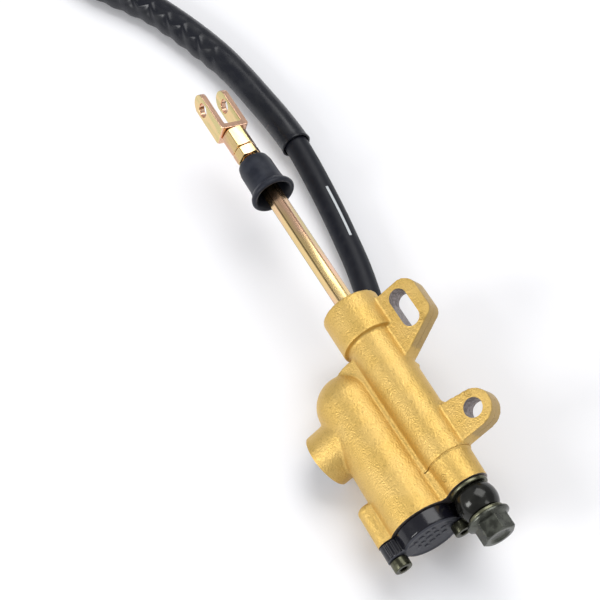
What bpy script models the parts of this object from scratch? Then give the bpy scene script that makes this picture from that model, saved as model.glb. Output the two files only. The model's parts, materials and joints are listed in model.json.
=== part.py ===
"""Rear brake master cylinder with pushrod, clevis, reservoir cap, banjo and hose.

The cylinder has its own axes: x runs along the bore from the collar's end face to the outlet,
y runs from the bore towards the mounting lugs, and z is the lugs' front normal. An empty carries
these axes into the world, where the cylinder lies rolled on its sight glass boss and its banjo.
All values are in metres.
"""

import math

import bmesh
import bpy
from mathutils import Matrix, Vector

# ---------------------------------------------------------------- driving dimensions

ROLL = math.radians(30.0)
GAP = 0.0003
FINE = 32
COARSE = 24

# Casting: the bore's own axis is y = 0, z = 0.
COLLAR_R = 0.0122
COLLAR_END = 0.0172
BARREL_R = 0.0101
BARREL_END_R = 0.0096
STEP_X = 0.0750
OUTLET_R = 0.0083
BODY_END = 0.0875
MOUTH_R = 0.0100
MOUTH_DEPTH = 0.0030
WASHER_BORE_R = 0.0078
SHOULDER_X = 0.0090
BORE_R = 0.00635
BORE_END = 0.0740
BOLT_SHANK_R = 0.0048
OUTLET_HOLE_R = BOLT_SHANK_R + GAP

RESERVOIR_Y = -0.0218
RESERVOIR_R = 0.0130
RESERVOIR_END_R = 0.0137
RESERVOIR_DOME_X = 0.0321
WEB_START = 0.0198
WEB_T = 0.0100
WEB_CORNER_R = 0.0120
CAVITY_R = 0.0076
CAVITY_X = 0.0270
CAVITY_MOUTH_R = 0.0086
CAVITY_MOUTH_DEPTH = 0.0018
PORT_R = 0.0013
PORTS_X = (0.0340, 0.0420)

SIGHT_X = 0.0430
SIGHT_END = 0.0416
SIGHT_BOSS_R = 0.0114
SIGHT_GLASS_R = 0.0080
SIGHT_GLASS_DEPTH = 0.0042
SIGHT_WINDOW_R = 0.0056
SIGHT_SEAL_WIRE = 0.0008

LUG_FRONT = 0.0030
LUG_BACK = 0.0057
LUG_ROOT = 0.0040
HOLE_LINE = 0.0195
HOLE_SPACING = 0.0500
SLOT_X = 0.0160
SLOT_R = 0.0038
SLOT_LENGTH = 0.0172
LUG_HOLE_R = 0.0039
LUG_EDGE = 0.0283
SLOT_LUG_START = 0.0048
SLOT_LUG_END = 0.0249
SLOT_LUG_FOOT = 0.0352
HOLE_LUG_R = 0.0074
HOLE_LUG_FOOT = 0.0553

# Reservoir cap, its screws and the diaphragm under it.
CAP_R = 0.0123
CAP_T = 0.0067
EAR_R = 0.0040
SCREW_R = 0.0019
SCREW_LENGTH = 0.0160
SCREW_HEAD_R = 0.0036
SCREW_HEAD_T = 0.0040
SCREW_SOCKET_R = 0.0018
SCREW_SOCKET_DEPTH = 0.0022
LEFT_SCREW_DISTANCE = 0.0150
LEFT_SCREW_ANGLE = math.radians(159.0)
RIGHT_SCREW_DISTANCE = 0.0110
RIGHT_SCREW_ANGLE = math.radians(-23.0)
LEFT_BOSS_R = 0.0042
LEFT_BOSS_LENGTH = 0.0170
DIAPHRAGM_WALL = 0.0012
DIAPHRAGM_DEPTH = 0.0150

# Inside the bore.
PISTON_R = BORE_R - 0.00035
GROOVE_R = PISTON_R - 0.0018
WAIST_R = PISTON_R - 0.0012
PISTON_START = 0.0116
PISTON_END = 0.0400
CUP_R = BORE_R - 0.00015
NOSE_R = 0.0032
SPRING_WIRE_R = 0.00065
SPRING_R = BORE_R - 0.00175
SPRING_TURNS = 7.5
STOP_WASHER_T = 0.0016
STOP_WASHER_HOLE_R = 0.0049
CIRCLIP_T = 0.0011
CIRCLIP_R = 0.0084
CIRCLIP_WALL = 0.0016
BALL_X = 0.0120
BALL_R = 0.0040
BALL_FLANGE_R = STOP_WASHER_HOLE_R + 0.0006

# Pushrod, lock nut, clevis and boot, on the bore's axis at x below zero.
ROD_FLATS = 0.0070
ROD_HEX_END = -0.0858
ROD_THREAD_R = 0.0030
ROD_TURN = math.radians(9.0)
NUT_FLATS = 0.0100
NUT_T = 0.0052
COUPLING_LENGTH = 0.0104
COUPLING_FLATS = 0.0100
COUPLING_TURN = math.radians(-6.0)
SPIGOT_R = 0.0032
YOKE_T = 0.0026
YOKE_BASE_T = 0.0026
YOKE_GAP = 0.0080
YOKE_WIDTH = 0.0094
YOKE_PIN_REACH = 0.0164
YOKE_TIP = 0.0078
PIN_R = 0.0031
CLEVIS_TURN = math.radians(-51.0)
BOOT_START = -0.0850
BOOT_LENGTH = 0.0206
BOOT_R = 0.0074
BOOT_LIP_R = 0.0098
BOOT_WALL = 0.0016
BOOT_HOLE_CLEARANCE = 0.0002

# Banjo stack at the outlet, and its neck down to the surface that the object lies on.
CRUSH_T = 0.0014
INNER_CRUSH_R = 0.0078
OUTER_CRUSH_R = 0.0073
CRUSH_HOLE_R = BOLT_SHANK_R + 0.0004
EYE_R = 0.0082
EYE_T = 0.0100
EYE_HOLE_R = BOLT_SHANK_R + 0.0004
BOLT_FLANGE_R = 0.0086
BOLT_FLANGE_T = 0.0018
BOLT_FLATS = 0.0120
BOLT_HEX_T = 0.0066
BOLT_LENGTH = 0.0270
BOLT_BORE_R = 0.0018
NECK_R = 0.0040
NECK_BEND_R = 0.0090
NECK_LEAN = math.radians(10.0)
FERRULE_R = 0.0065
FERRULE_LENGTH = 0.0240

# Hose. Its route is in world coordinates, from the ferrule's mouth to the far fitting.
HOSE_R = 0.0054
HOSE_ROUTE = (
    (0.0684, 0.0114, 0.0065),
    (0.0530, 0.0118, 0.0061),
    (0.0380, 0.0133, 0.0057),
    (0.0230, 0.0160, 0.0055),
    (0.0080, 0.0194, 0.0055),
    (-0.0070, 0.0230, 0.0055),
    (-0.0220, 0.0264, 0.0055),
    (-0.0370, 0.0288, 0.0055),
    (-0.0520, 0.0309, 0.0056),
    (-0.0670, 0.0325, 0.0060),
    (-0.0800, 0.0336, 0.0064),
    (-0.0920, 0.0341, 0.0068),
    (-0.1070, 0.0335, 0.0070),
    (-0.1220, 0.0321, 0.0070),
    (-0.1370, 0.0305, 0.0070),
    (-0.1520, 0.0282, 0.0070),
    (-0.1670, 0.0246, 0.0070),
    (-0.1820, 0.0201, 0.0070),
    (-0.1970, 0.0146, 0.0070),
    (-0.2110, 0.0072, 0.0070),
    (-0.2255, -0.0008, 0.0070),
    (-0.2420, -0.0067, 0.0070),
    (-0.2600, -0.0083, 0.0070),
    (-0.2775, -0.0048, 0.0070),
    (-0.2935, 0.0040, 0.0070),
    (-0.3055, 0.0172, 0.0068),
    (-0.3128, 0.0335, 0.0066),
    (-0.3150, 0.0505, 0.0066),
)
HOSE_SPACING = 0.0065
SLEEVE_R = 0.0066
SLEEVE_WALL = 0.0009
SLEEVE_START = 0.1610
SLEEVE_LENGTH = 0.1700

# ---------------------------------------------------------------- derived places

CAP_X = BODY_END + GAP
EAR_TOP = CAP_X + CAP_T
LEFT_SCREW = (
    RESERVOIR_Y + LEFT_SCREW_DISTANCE * math.cos(LEFT_SCREW_ANGLE),
    LEFT_SCREW_DISTANCE * math.sin(LEFT_SCREW_ANGLE),
)
RIGHT_SCREW = (
    RESERVOIR_Y + RIGHT_SCREW_DISTANCE * math.cos(RIGHT_SCREW_ANGLE),
    RIGHT_SCREW_DISTANCE * math.sin(RIGHT_SCREW_ANGLE),
)
NUT_X = ROD_HEX_END - GAP - NUT_T
COUPLING_X = NUT_X - GAP - COUPLING_LENGTH
YOKE_X = COUPLING_X - GAP
PIN_X = YOKE_X - YOKE_PIN_REACH
TIP_X = PIN_X - YOKE_TIP
EYE_X = BODY_END + 2 * GAP + CRUSH_T + EYE_T / 2
OUTER_CRUSH_X = EYE_X + EYE_T / 2 + GAP
BOLT_X = OUTER_CRUSH_X + CRUSH_T + GAP
BOLT_END = BOLT_X + BOLT_FLANGE_T + BOLT_HEX_T

AXIS_Z = SIGHT_END * math.sin(ROLL) + SIGHT_BOSS_R * math.cos(ROLL)
NECK_LENGTH = (AXIS_Z - FERRULE_R) / math.cos(NECK_LEAN)
NECK_TURN = NECK_LEAN - ROLL
LOW_Y = -SIGHT_END * math.cos(ROLL) - SIGHT_BOSS_R * math.sin(ROLL)
HIGH_Y = LUG_EDGE * math.cos(ROLL) + LUG_BACK * math.sin(ROLL)
AXES_PLACE = Vector((-(TIP_X + BOLT_END) / 2, -(LOW_Y + HIGH_Y) / 2, AXIS_Z))

# ---------------------------------------------------------------- scene helpers


def clear_scene():
    for item in list(bpy.data.objects):
        bpy.data.objects.remove(item, do_unlink=True)


def new_collection(name):
    collection = bpy.data.collections.new(name)
    bpy.context.scene.collection.children.link(collection)
    return collection


def material(name, colour, roughness, metallic):
    made = bpy.data.materials.new(name)
    made.use_nodes = True
    shader = made.node_tree.nodes["Principled BSDF"]
    shader.inputs["Base Color"].default_value = (*colour, 1.0)
    shader.inputs["Roughness"].default_value = roughness
    shader.inputs["Metallic"].default_value = metallic
    return made


def place(piece, location=(0, 0, 0), turn=(0, 0, 0)):
    """Put a piece on the cylinder's own axes."""
    piece.parent = AXES
    piece.location = location
    piece.rotation_euler = turn


def new_object(name, data, collection):
    piece = bpy.data.objects.new(name, data)
    collection.objects.link(piece)
    return piece


def finish(piece, colour, roughness, metallic):
    piece.data.materials.append(material(piece.name, colour, roughness, metallic))
    return piece


def guide(piece):
    piece.hide_render = True
    piece.display_type = "WIRE"
    return piece


def combine(piece, operation, other):
    change = piece.modifiers.new(other.name, "BOOLEAN")
    change.operation = operation
    change.solver = "EXACT"
    change.object = other


def cut(piece, other):
    combine(piece, "DIFFERENCE", guide(other))


def join(piece, other):
    combine(piece, "UNION", guide(other))


# ---------------------------------------------------------------- shape helpers


def signed_area(points):
    total = 0.0
    for (x0, y0), (x1, y1) in zip(points, points[1:] + points[:1]):
        total += x0 * y1 - x1 * y0
    return total / 2


def arc(centre, radius, start, end, steps):
    """Points on an arc, angles in degrees."""
    points = []
    for step in range(steps + 1):
        angle = math.radians(start + (end - start) * step / steps)
        points.append((centre[0] + radius * math.cos(angle), centre[1] + radius * math.sin(angle)))
    return points


def turned(name, profile, steps, collection, ring=False):
    """A solid of revolution about x: the profile is (x, radius), closed on itself for a ring."""
    points = list(profile)
    if signed_area(points) < 0:
        points.reverse()
    mesh = bpy.data.meshes.new(name)
    edges = [(i, i + 1) for i in range(len(points) - 1)]
    if ring:
        edges.append((len(points) - 1, 0))
    mesh.from_pydata([(x, r, 0.0) for x, r in points], edges, [])
    piece = new_object(name, mesh, collection)
    screw = piece.modifiers.new("turn", "SCREW")
    screw.axis = "X"
    screw.angle = 2 * math.pi
    screw.steps = steps
    screw.render_steps = steps
    screw.use_merge_vertices = True
    screw.merge_threshold = 0.00001
    screw.use_smooth_shade = True
    return piece


def curve_mesh(piece):
    """Turn a curve object into a mesh object of the same name, with its caps welded."""
    name = piece.name
    bpy.context.view_layer.update()
    depsgraph = bpy.context.evaluated_depsgraph_get()
    mesh = bpy.data.meshes.new_from_object(piece.evaluated_get(depsgraph))
    collection = piece.users_collection[0]
    world = piece.matrix_world.copy()
    parent = piece.parent
    curve = piece.data
    bpy.data.objects.remove(piece)
    bpy.data.curves.remove(curve)
    build = bmesh.new()
    build.from_mesh(mesh)
    bmesh.ops.remove_doubles(build, verts=build.verts, dist=0.00001)
    build.to_mesh(mesh)
    build.free()
    made = new_object(name, mesh, collection)
    made.parent = parent
    made.matrix_world = world
    return made


def plate(name, outline, low, high, collection):
    """A flat outline in (x, y), from z = low to z = high: a filled 2D curve made a mesh."""
    curve = bpy.data.curves.new(name, "CURVE")
    curve.dimensions = "2D"
    curve.fill_mode = "BOTH"
    curve.extrude = (high - low) / 2
    spline = curve.splines.new("POLY")
    spline.points.add(len(outline) - 1)
    for target, (x, y) in zip(spline.points, outline):
        target.co = (x, y, 0.0, 1.0)
    spline.use_cyclic_u = True
    piece = curve_mesh(new_object(name, curve, collection))
    piece.data.transform(Matrix.Translation((0, 0, (low + high) / 2)))
    return piece


def rod(name, radius, start, end, sides, collection, turn=0.0):
    """A straight bar along x with the given number of sides."""
    build = bmesh.new()
    shift = Matrix.Translation(((start + end) / 2, 0, 0))
    upright = Matrix.Rotation(turn, 4, "X") @ Matrix.Rotation(math.pi / 2, 4, "Y")
    bmesh.ops.create_cone(build, cap_ends=True, segments=sides, radius1=radius, radius2=radius,
                          depth=end - start, matrix=shift @ upright)
    mesh = bpy.data.meshes.new(name)
    build.to_mesh(mesh)
    build.free()
    return new_object(name, mesh, collection)


def hexagon(name, flats, start, end, collection, turn=0.0):
    """A six-sided bar whose flat faces y when the turn is zero."""
    return rod(name, flats / math.sqrt(3), start, end, 6, collection, turn + math.radians(30))


def rounded_outline(corners):
    """An outline whose corners (x, y, radius, steps) are rounded where the radius isn't zero."""
    points = []
    count = len(corners)
    for index, (x, y, radius, steps) in enumerate(corners):
        here = Vector((x, y))
        if radius == 0:
            points.append((x, y))
            continue
        before = (Vector(corners[index - 1][:2]) - here).normalized()
        after = (Vector(corners[(index + 1) % count][:2]) - here).normalized()
        half = before.angle(after) / 2
        centre = here + (before + after).normalized() * (radius / math.sin(half))
        start = here + before * (radius / math.tan(half)) - centre
        end = here + after * (radius / math.tan(half)) - centre
        sweep = start.angle_signed(end)
        for step in range(steps + 1):
            spoke = start.copy()
            spoke.rotate(Matrix.Rotation(-sweep * step / steps, 2))
            points.append(tuple(centre + spoke))
    return points


def tube(name, points, radius, collection, resolution=2, caps=True):
    """A round tube along points: a poly spline with a bevel."""
    curve = bpy.data.curves.new(name, "CURVE")
    curve.dimensions = "3D"
    curve.bevel_depth = radius
    curve.bevel_resolution = resolution
    curve.use_fill_caps = caps
    spline = curve.splines.new("POLY")
    spline.points.add(len(points) - 1)
    for target, source in zip(spline.points, points):
        target.co = (*source, 1.0)
    return new_object(name, curve, collection)


def chamfered_hex(name, flats, start, end, collection, turn=0.0):
    """A nut's hexagon with its corners turned off at both ends."""
    piece = hexagon(name, flats, start, end, collection, turn)
    radius = flats / math.sqrt(3)
    drop = (radius - flats / 2) * 0.6
    profile = [(start - GAP, 0), (start - GAP, flats * 0.47), (start + drop, radius + GAP),
               (end - drop, radius + GAP), (end + GAP, flats * 0.47), (end + GAP, 0)]
    combine(piece, "INTERSECT", guide(turned(name + "_turning", profile, FINE, CUTTERS)))
    return piece


def along(points, spacing):
    """Points at even distances along a smooth curve through the given ones."""
    knots = [Vector(point) for point in points]
    padded = [knots[0] * 2 - knots[1]] + knots + [knots[-1] * 2 - knots[-2]]
    dense = []
    for before, start, end, after in zip(padded, padded[1:], padded[2:], padded[3:]):
        for step in range(40):
            t = step / 40
            dense.append(0.5 * (2 * start + (end - before) * t
                                + (2 * before - 5 * start + 4 * end - after) * t * t
                                + (3 * start - before - 3 * end + after) * t ** 3))
    dense.append(knots[-1])
    reach = [0.0]
    for start, end in zip(dense, dense[1:]):
        reach.append(reach[-1] + (end - start).length)
    count = round(reach[-1] / spacing)
    even = []
    index = 0
    for step in range(count + 1):
        target = reach[-1] * step / count
        while index < len(dense) - 2 and reach[index + 1] < target:
            index += 1
        share = (target - reach[index]) / (reach[index + 1] - reach[index])
        even.append(dense[index].lerp(dense[index + 1], share))
    return even, reach[-1] / count


# ---------------------------------------------------------------- casting


def casting_outside():
    body = turned("cylinder_body", [
        (0, 0), (0, COLLAR_R - 0.0012), (0.0012, COLLAR_R), (COLLAR_END - 0.0012, COLLAR_R),
        (COLLAR_END, COLLAR_R - 0.0012), (COLLAR_END, BARREL_R), (STEP_X, BARREL_END_R),
        (STEP_X, OUTLET_R + 0.0004), (BODY_END, OUTLET_R), (BODY_END, 0)], FINE, PARTS)
    place(body)

    dome = arc((RESERVOIR_DOME_X, 0), RESERVOIR_R, 180, 90, 7)
    reservoir = turned("reservoir_outside", dome + [(BODY_END, RESERVOIR_END_R), (BODY_END, 0)],
                       FINE, CUTTERS)
    place(reservoir, (0, RESERVOIR_Y, 0))
    join(body, reservoir)

    web = plate("web", rounded_outline([
        (WEB_START, 0, 0, 0), (WEB_START, RESERVOIR_Y, WEB_CORNER_R, 6),
        (BODY_END - GAP, RESERVOIR_Y, 0, 0), (BODY_END - GAP, 0, 0, 0)]),
        -WEB_T / 2, WEB_T / 2, CUTTERS)
    place(web)
    join(body, web)

    boss = rod("sight_boss", SIGHT_BOSS_R, 0, SIGHT_END + RESERVOIR_Y, FINE, CUTTERS)
    place(boss, (SIGHT_X, RESERVOIR_Y, 0), (0, 0, -math.pi / 2))
    join(body, boss)

    for name, spot, length in (("left_screw_boss", LEFT_SCREW, LEFT_BOSS_LENGTH),
                               ("right_screw_boss", RIGHT_SCREW, SCREW_LENGTH)):
        pillar = turned(name, [(BODY_END - length, 0), (BODY_END - length, LEFT_BOSS_R - 0.0015),
                               (BODY_END - length + 0.0015, LEFT_BOSS_R),
                               (BODY_END, LEFT_BOSS_R), (BODY_END, 0)], COARSE, CUTTERS)
        place(pillar, (0, *spot))
        join(body, pillar)
    return body


def lugs(body):
    slot_lug = plate("slot_lug", rounded_outline([
        (SLOT_LUG_START, LUG_ROOT, 0, 0), (SLOT_LUG_START, LUG_EDGE, 0.0062, 6),
        (SLOT_LUG_END, LUG_EDGE, 0.0045, 5), (SLOT_LUG_FOOT, LUG_ROOT, 0, 0)]),
        -LUG_BACK, LUG_FRONT, CUTTERS)
    place(slot_lug)
    join(body, slot_lug)

    hole_x = SLOT_X + HOLE_SPACING
    crown = arc((hole_x, HOLE_LINE), HOLE_LUG_R, 0, 172, 12)
    hole_lug = plate("hole_lug", crown + [(HOLE_LUG_FOOT, LUG_ROOT),
                                          (hole_x + HOLE_LUG_R, LUG_ROOT)],
                     -LUG_BACK, LUG_FRONT, CUTTERS)
    place(hole_lug)
    join(body, hole_lug)

    reach = SLOT_LENGTH / 2 - SLOT_R
    slot = (arc((SLOT_X + reach, HOLE_LINE), SLOT_R, -90, 90, 10)
            + arc((SLOT_X - reach, HOLE_LINE), SLOT_R, 90, 270, 10))
    hole = arc((hole_x, HOLE_LINE), LUG_HOLE_R, 0, 345, COARSE - 1)
    for name, outline in (("slot_cut", slot), ("hole_cut", hole)):
        cutter = plate(name, outline, -LUG_BACK - 0.002, LUG_FRONT + 0.002, CUTTERS)
        place(cutter)
        cut(body, cutter)


def casting_inside(body):
    circlip_x = SHOULDER_X - GAP - STOP_WASHER_T - GAP - CIRCLIP_T
    bore = turned("bore_cut", [
        (-0.002, 0), (-0.002, MOUTH_R), (MOUTH_DEPTH, MOUTH_R), (MOUTH_DEPTH, WASHER_BORE_R),
        (circlip_x - GAP, WASHER_BORE_R), (circlip_x - GAP, CIRCLIP_R + GAP),
        (circlip_x + CIRCLIP_T + GAP, CIRCLIP_R + GAP),
        (circlip_x + CIRCLIP_T + GAP, WASHER_BORE_R), (SHOULDER_X, WASHER_BORE_R),
        (SHOULDER_X, BORE_R), (BORE_END, BORE_R), (BORE_END, OUTLET_HOLE_R),
        (BODY_END + 0.002, OUTLET_HOLE_R), (BODY_END + 0.002, 0)], FINE, CUTTERS)
    place(bore)
    cut(body, bore)

    cavity = turned("cavity_cut", [
        (CAVITY_X, 0), (CAVITY_X, CAVITY_R - 0.002), (CAVITY_X + 0.002, CAVITY_R),
        (BODY_END - CAVITY_MOUTH_DEPTH, CAVITY_R),
        (BODY_END - CAVITY_MOUTH_DEPTH, CAVITY_MOUTH_R),
        (BODY_END + 0.002, CAVITY_MOUTH_R), (BODY_END + 0.002, 0)], COARSE, CUTTERS)
    place(cavity, (0, RESERVOIR_Y, 0))
    cut(body, cavity)

    face = SIGHT_END + RESERVOIR_Y
    seat = face - SIGHT_GLASS_DEPTH
    sight = turned("sight_cut", [
        (CAVITY_R * 0.5, 0), (CAVITY_R * 0.5, SIGHT_WINDOW_R), (seat, SIGHT_WINDOW_R),
        (seat, SIGHT_GLASS_R + GAP), (face + 0.002, SIGHT_GLASS_R + GAP), (face + 0.002, 0)],
        COARSE, CUTTERS)
    place(sight, (SIGHT_X, RESERVOIR_Y, 0), (0, 0, -math.pi / 2))
    cut(body, sight)

    for number, port_x in enumerate(PORTS_X):
        port = rod("port_cut_%d" % number, PORT_R, RESERVOIR_Y, -BORE_R * 0.5, 12, CUTTERS)
        place(port, (port_x, 0, 0), (0, 0, math.pi / 2))
        cut(body, port)
    for name, spot in (("left_thread_cut", LEFT_SCREW), ("right_thread_cut", RIGHT_SCREW)):
        thread = rod(name, SCREW_R + 0.0002, EAR_TOP - SCREW_LENGTH - 0.001,
                     BODY_END + 0.002, 16, CUTTERS)
        place(thread, (0, *spot))
        cut(body, thread)


def make_casting():
    body = casting_outside()
    lugs(body)
    casting_inside(body)
    return finish(body, (0.62, 0.42, 0.12), 0.38, 0.55)


# ---------------------------------------------------------------- reservoir


def make_sight_glass():
    face = SIGHT_END + RESERVOIR_Y
    seat = face - SIGHT_GLASS_DEPTH
    glass = turned("sight_glass", [
        (seat + 2 * SIGHT_SEAL_WIRE + 2 * GAP, 0),
        (seat + 2 * SIGHT_SEAL_WIRE + 2 * GAP, SIGHT_GLASS_R),
        (face - 0.0006, SIGHT_GLASS_R), (face - 0.0002, SIGHT_GLASS_R - 0.0005),
        (face - 0.0002, 0)], COARSE, PARTS)
    place(glass, (SIGHT_X, RESERVOIR_Y, 0), (0, 0, -math.pi / 2))
    finish(glass, (0.75, 0.80, 0.78), 0.08, 0.0)

    centre = (seat + GAP + SIGHT_SEAL_WIRE, SIGHT_GLASS_R - SIGHT_SEAL_WIRE)
    seal = turned("sight_glass_seal", arc(centre, SIGHT_SEAL_WIRE, 0, 315, 7), COARSE, PARTS, True)
    place(seal, (SIGHT_X, RESERVOIR_Y, 0), (0, 0, -math.pi / 2))
    finish(seal, (0.02, 0.02, 0.02), 0.6, 0.0)


def make_cap():
    cap = turned("reservoir_cap", [
        (CAP_X, 0), (CAP_X, CAP_R), (CAP_X + CAP_T - 0.0008, CAP_R),
        (CAP_X + CAP_T, CAP_R - 0.0008), (CAP_X + CAP_T, CAP_R - 0.0014),
        (CAP_X + CAP_T - 0.0005, CAP_R - 0.0017), (CAP_X + CAP_T - 0.0005, 0)], FINE, PARTS)
    place(cap, (0, RESERVOIR_Y, 0))
    for side, spot in (("left", LEFT_SCREW), ("right", RIGHT_SCREW)):
        angle = math.atan2(spot[1], spot[0] - RESERVOIR_Y)
        reach = math.hypot(spot[0] - RESERVOIR_Y, spot[1])
        outline = (arc((reach, 0), EAR_R, -90, 90, 10)
                   + [(CAP_R * 0.55, EAR_R), (CAP_R * 0.55, -EAR_R)])
        ear = plate(side + "_ear", outline, CAP_X, EAR_TOP, CUTTERS)
        stand = Matrix.Rotation(angle, 4, "X") @ Matrix(
            ((0, 0, 1, 0), (1, 0, 0, 0), (0, 1, 0, 0), (0, 0, 0, 1)))
        place(ear, (0, RESERVOIR_Y, 0), stand.to_euler())
        join(cap, ear)
    for side, spot in (("left", LEFT_SCREW), ("right", RIGHT_SCREW)):
        hole = rod(side + "_screw_clearance", SCREW_R + 0.0004, CAP_X - 0.002, EAR_TOP + 0.002,
                   16, CUTTERS)
        place(hole, (0, *spot))
        cut(cap, hole)
    return finish(cap, (0.012, 0.012, 0.014), 0.28, 0.0)


def make_diaphragm():
    flange = BODY_END - CAVITY_MOUTH_DEPTH + GAP
    outer = CAVITY_R - 0.0006
    floor = BODY_END - DIAPHRAGM_DEPTH
    rubber = turned("diaphragm", [
        (floor, 0), (floor, outer - 0.0015), (floor + 0.0015, outer), (flange, outer),
        (flange, CAVITY_MOUTH_R - 0.0002), (BODY_END, CAVITY_MOUTH_R - 0.0002),
        (BODY_END, outer - DIAPHRAGM_WALL), (floor + 0.002, outer - DIAPHRAGM_WALL),
        (floor + DIAPHRAGM_WALL, outer - DIAPHRAGM_WALL - 0.001), (floor + DIAPHRAGM_WALL, 0)],
        COARSE, PARTS)
    place(rubber, (0, RESERVOIR_Y, 0))
    finish(rubber, (0.03, 0.03, 0.032), 0.7, 0.0)


def make_cap_screw(name, spot):
    seat = EAR_TOP + GAP
    top = seat + SCREW_HEAD_T
    screw = turned(name, [
        (seat - SCREW_LENGTH, 0), (seat - SCREW_LENGTH, SCREW_R - 0.0004),
        (seat - SCREW_LENGTH + 0.0004, SCREW_R), (seat, SCREW_R), (seat, SCREW_HEAD_R),
        (top - 0.0004, SCREW_HEAD_R), (top, SCREW_HEAD_R - 0.0004), (top, 0)], COARSE, PARTS)
    place(screw, (0, *spot))
    socket = rod(name + "_socket", SCREW_SOCKET_R, top - SCREW_SOCKET_DEPTH, top + 0.001,
                 6, CUTTERS)
    place(socket, (0, *spot))
    cut(screw, socket)
    finish(screw, (0.10, 0.10, 0.06), 0.32, 0.8)


# ---------------------------------------------------------------- inside the bore


def make_piston_set():
    land = PISTON_START + 0.0035
    groove_end = land + 0.0035
    waist = groove_end + 0.0016
    head = PISTON_END - 0.0100
    nose = head + 0.0030
    cup_r = BALL_R + 0.0003
    recess = arc((BALL_X, 0), cup_r, 0, 90, 6)
    piston = turned("piston", [
        *recess, (PISTON_START, cup_r), (PISTON_START, PISTON_R), (land, PISTON_R),
        (land, GROOVE_R), (groove_end, GROOVE_R), (groove_end, PISTON_R), (waist, PISTON_R),
        (waist + 0.001, WAIST_R), (head - 0.001, WAIST_R), (head, PISTON_R), (nose, PISTON_R),
        (nose, NOSE_R), (PISTON_END, NOSE_R), (PISTON_END, 0)], FINE, PARTS)
    place(piston, (0, 0, 0))
    finish(piston, (0.72, 0.73, 0.75), 0.25, 1.0)

    rear = turned("secondary_cup", [
        (land + GAP, GROOVE_R + GAP), (groove_end - GAP, GROOVE_R + GAP), (groove_end - GAP, CUP_R),
        (groove_end - 0.0012, CUP_R), (groove_end - 0.0016, CUP_R - 0.0006),
        (land + GAP, CUP_R - 0.0006)],
        COARSE, PARTS, True)
    place(rear)
    finish(rear, (0.02, 0.02, 0.02), 0.55, 0.0)

    front = turned("primary_cup", [
        (nose + GAP, NOSE_R + GAP), (nose + GAP, CUP_R - 0.0004), (nose + 0.0026, CUP_R),
        (nose + 0.0038, CUP_R), (nose + 0.0036, CUP_R - 0.0008),
        (nose + 0.0018, CUP_R - 0.0016),
        (nose + 0.0030, NOSE_R + 0.0009), (nose + 0.0030, NOSE_R + GAP)], COARSE, PARTS, True)
    place(front)
    finish(front, (0.02, 0.02, 0.02), 0.55, 0.0)

    seat = turned("spring_seat", [
        (PISTON_END - 0.0028, NOSE_R + GAP), (PISTON_END - 0.0028, SPRING_R + 0.0004),
        (PISTON_END - 0.0018, SPRING_R + 0.0007), (PISTON_END - 0.0008, SPRING_R + 0.0007),
        (PISTON_END - 0.0008, NOSE_R + 0.0005), (PISTON_END + 0.0014, NOSE_R + 0.0005),
        (PISTON_END + 0.0014, NOSE_R + GAP)], COARSE, PARTS, True)
    place(seat)
    finish(seat, (0.55, 0.50, 0.35), 0.35, 1.0)


def make_spring():
    start = PISTON_END - 0.0008 + 2 * GAP + SPRING_WIRE_R
    end = BORE_END - 2 * GAP - SPRING_WIRE_R
    count = int(SPRING_TURNS * 12)
    points = []
    for step in range(count + 1):
        angle = 2 * math.pi * SPRING_TURNS * step / count
        points.append((start + (end - start) * step / count,
                       SPRING_R * math.cos(angle), SPRING_R * math.sin(angle)))
    spring = tube("return_spring", points, SPRING_WIRE_R, PARTS, 1)
    place(spring)
    finish(spring, (0.5, 0.5, 0.52), 0.3, 1.0)


def make_retainers():
    washer_x = SHOULDER_X - GAP - STOP_WASHER_T
    outer = WASHER_BORE_R - GAP
    washer = turned("stop_washer", [
        (washer_x, STOP_WASHER_HOLE_R), (washer_x, outer), (washer_x + STOP_WASHER_T, outer),
        (washer_x + STOP_WASHER_T, STOP_WASHER_HOLE_R)], COARSE, PARTS, True)
    place(washer)
    finish(washer, (0.6, 0.55, 0.35), 0.35, 1.0)

    inner = CIRCLIP_R - CIRCLIP_WALL
    ear = inner - 0.0014
    outline = (arc((0, 0), CIRCLIP_R, -70, 250, 24) + arc((0, 0), ear, 250, 232, 2)
               + arc((0, 0), inner, 232, -52, 22) + arc((0, 0), ear, -52, -70, 2))
    circlip = plate("circlip", outline, 0, CIRCLIP_T, PARTS)
    upright = Matrix(((0, 0, 1, 0), (1, 0, 0, 0), (0, 1, 0, 0), (0, 0, 0, 1)))
    place(circlip, (washer_x - GAP - CIRCLIP_T, 0, 0), upright.to_euler())
    finish(circlip, (0.10, 0.10, 0.10), 0.35, 1.0)


# ---------------------------------------------------------------- pushrod and clevis


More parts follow.
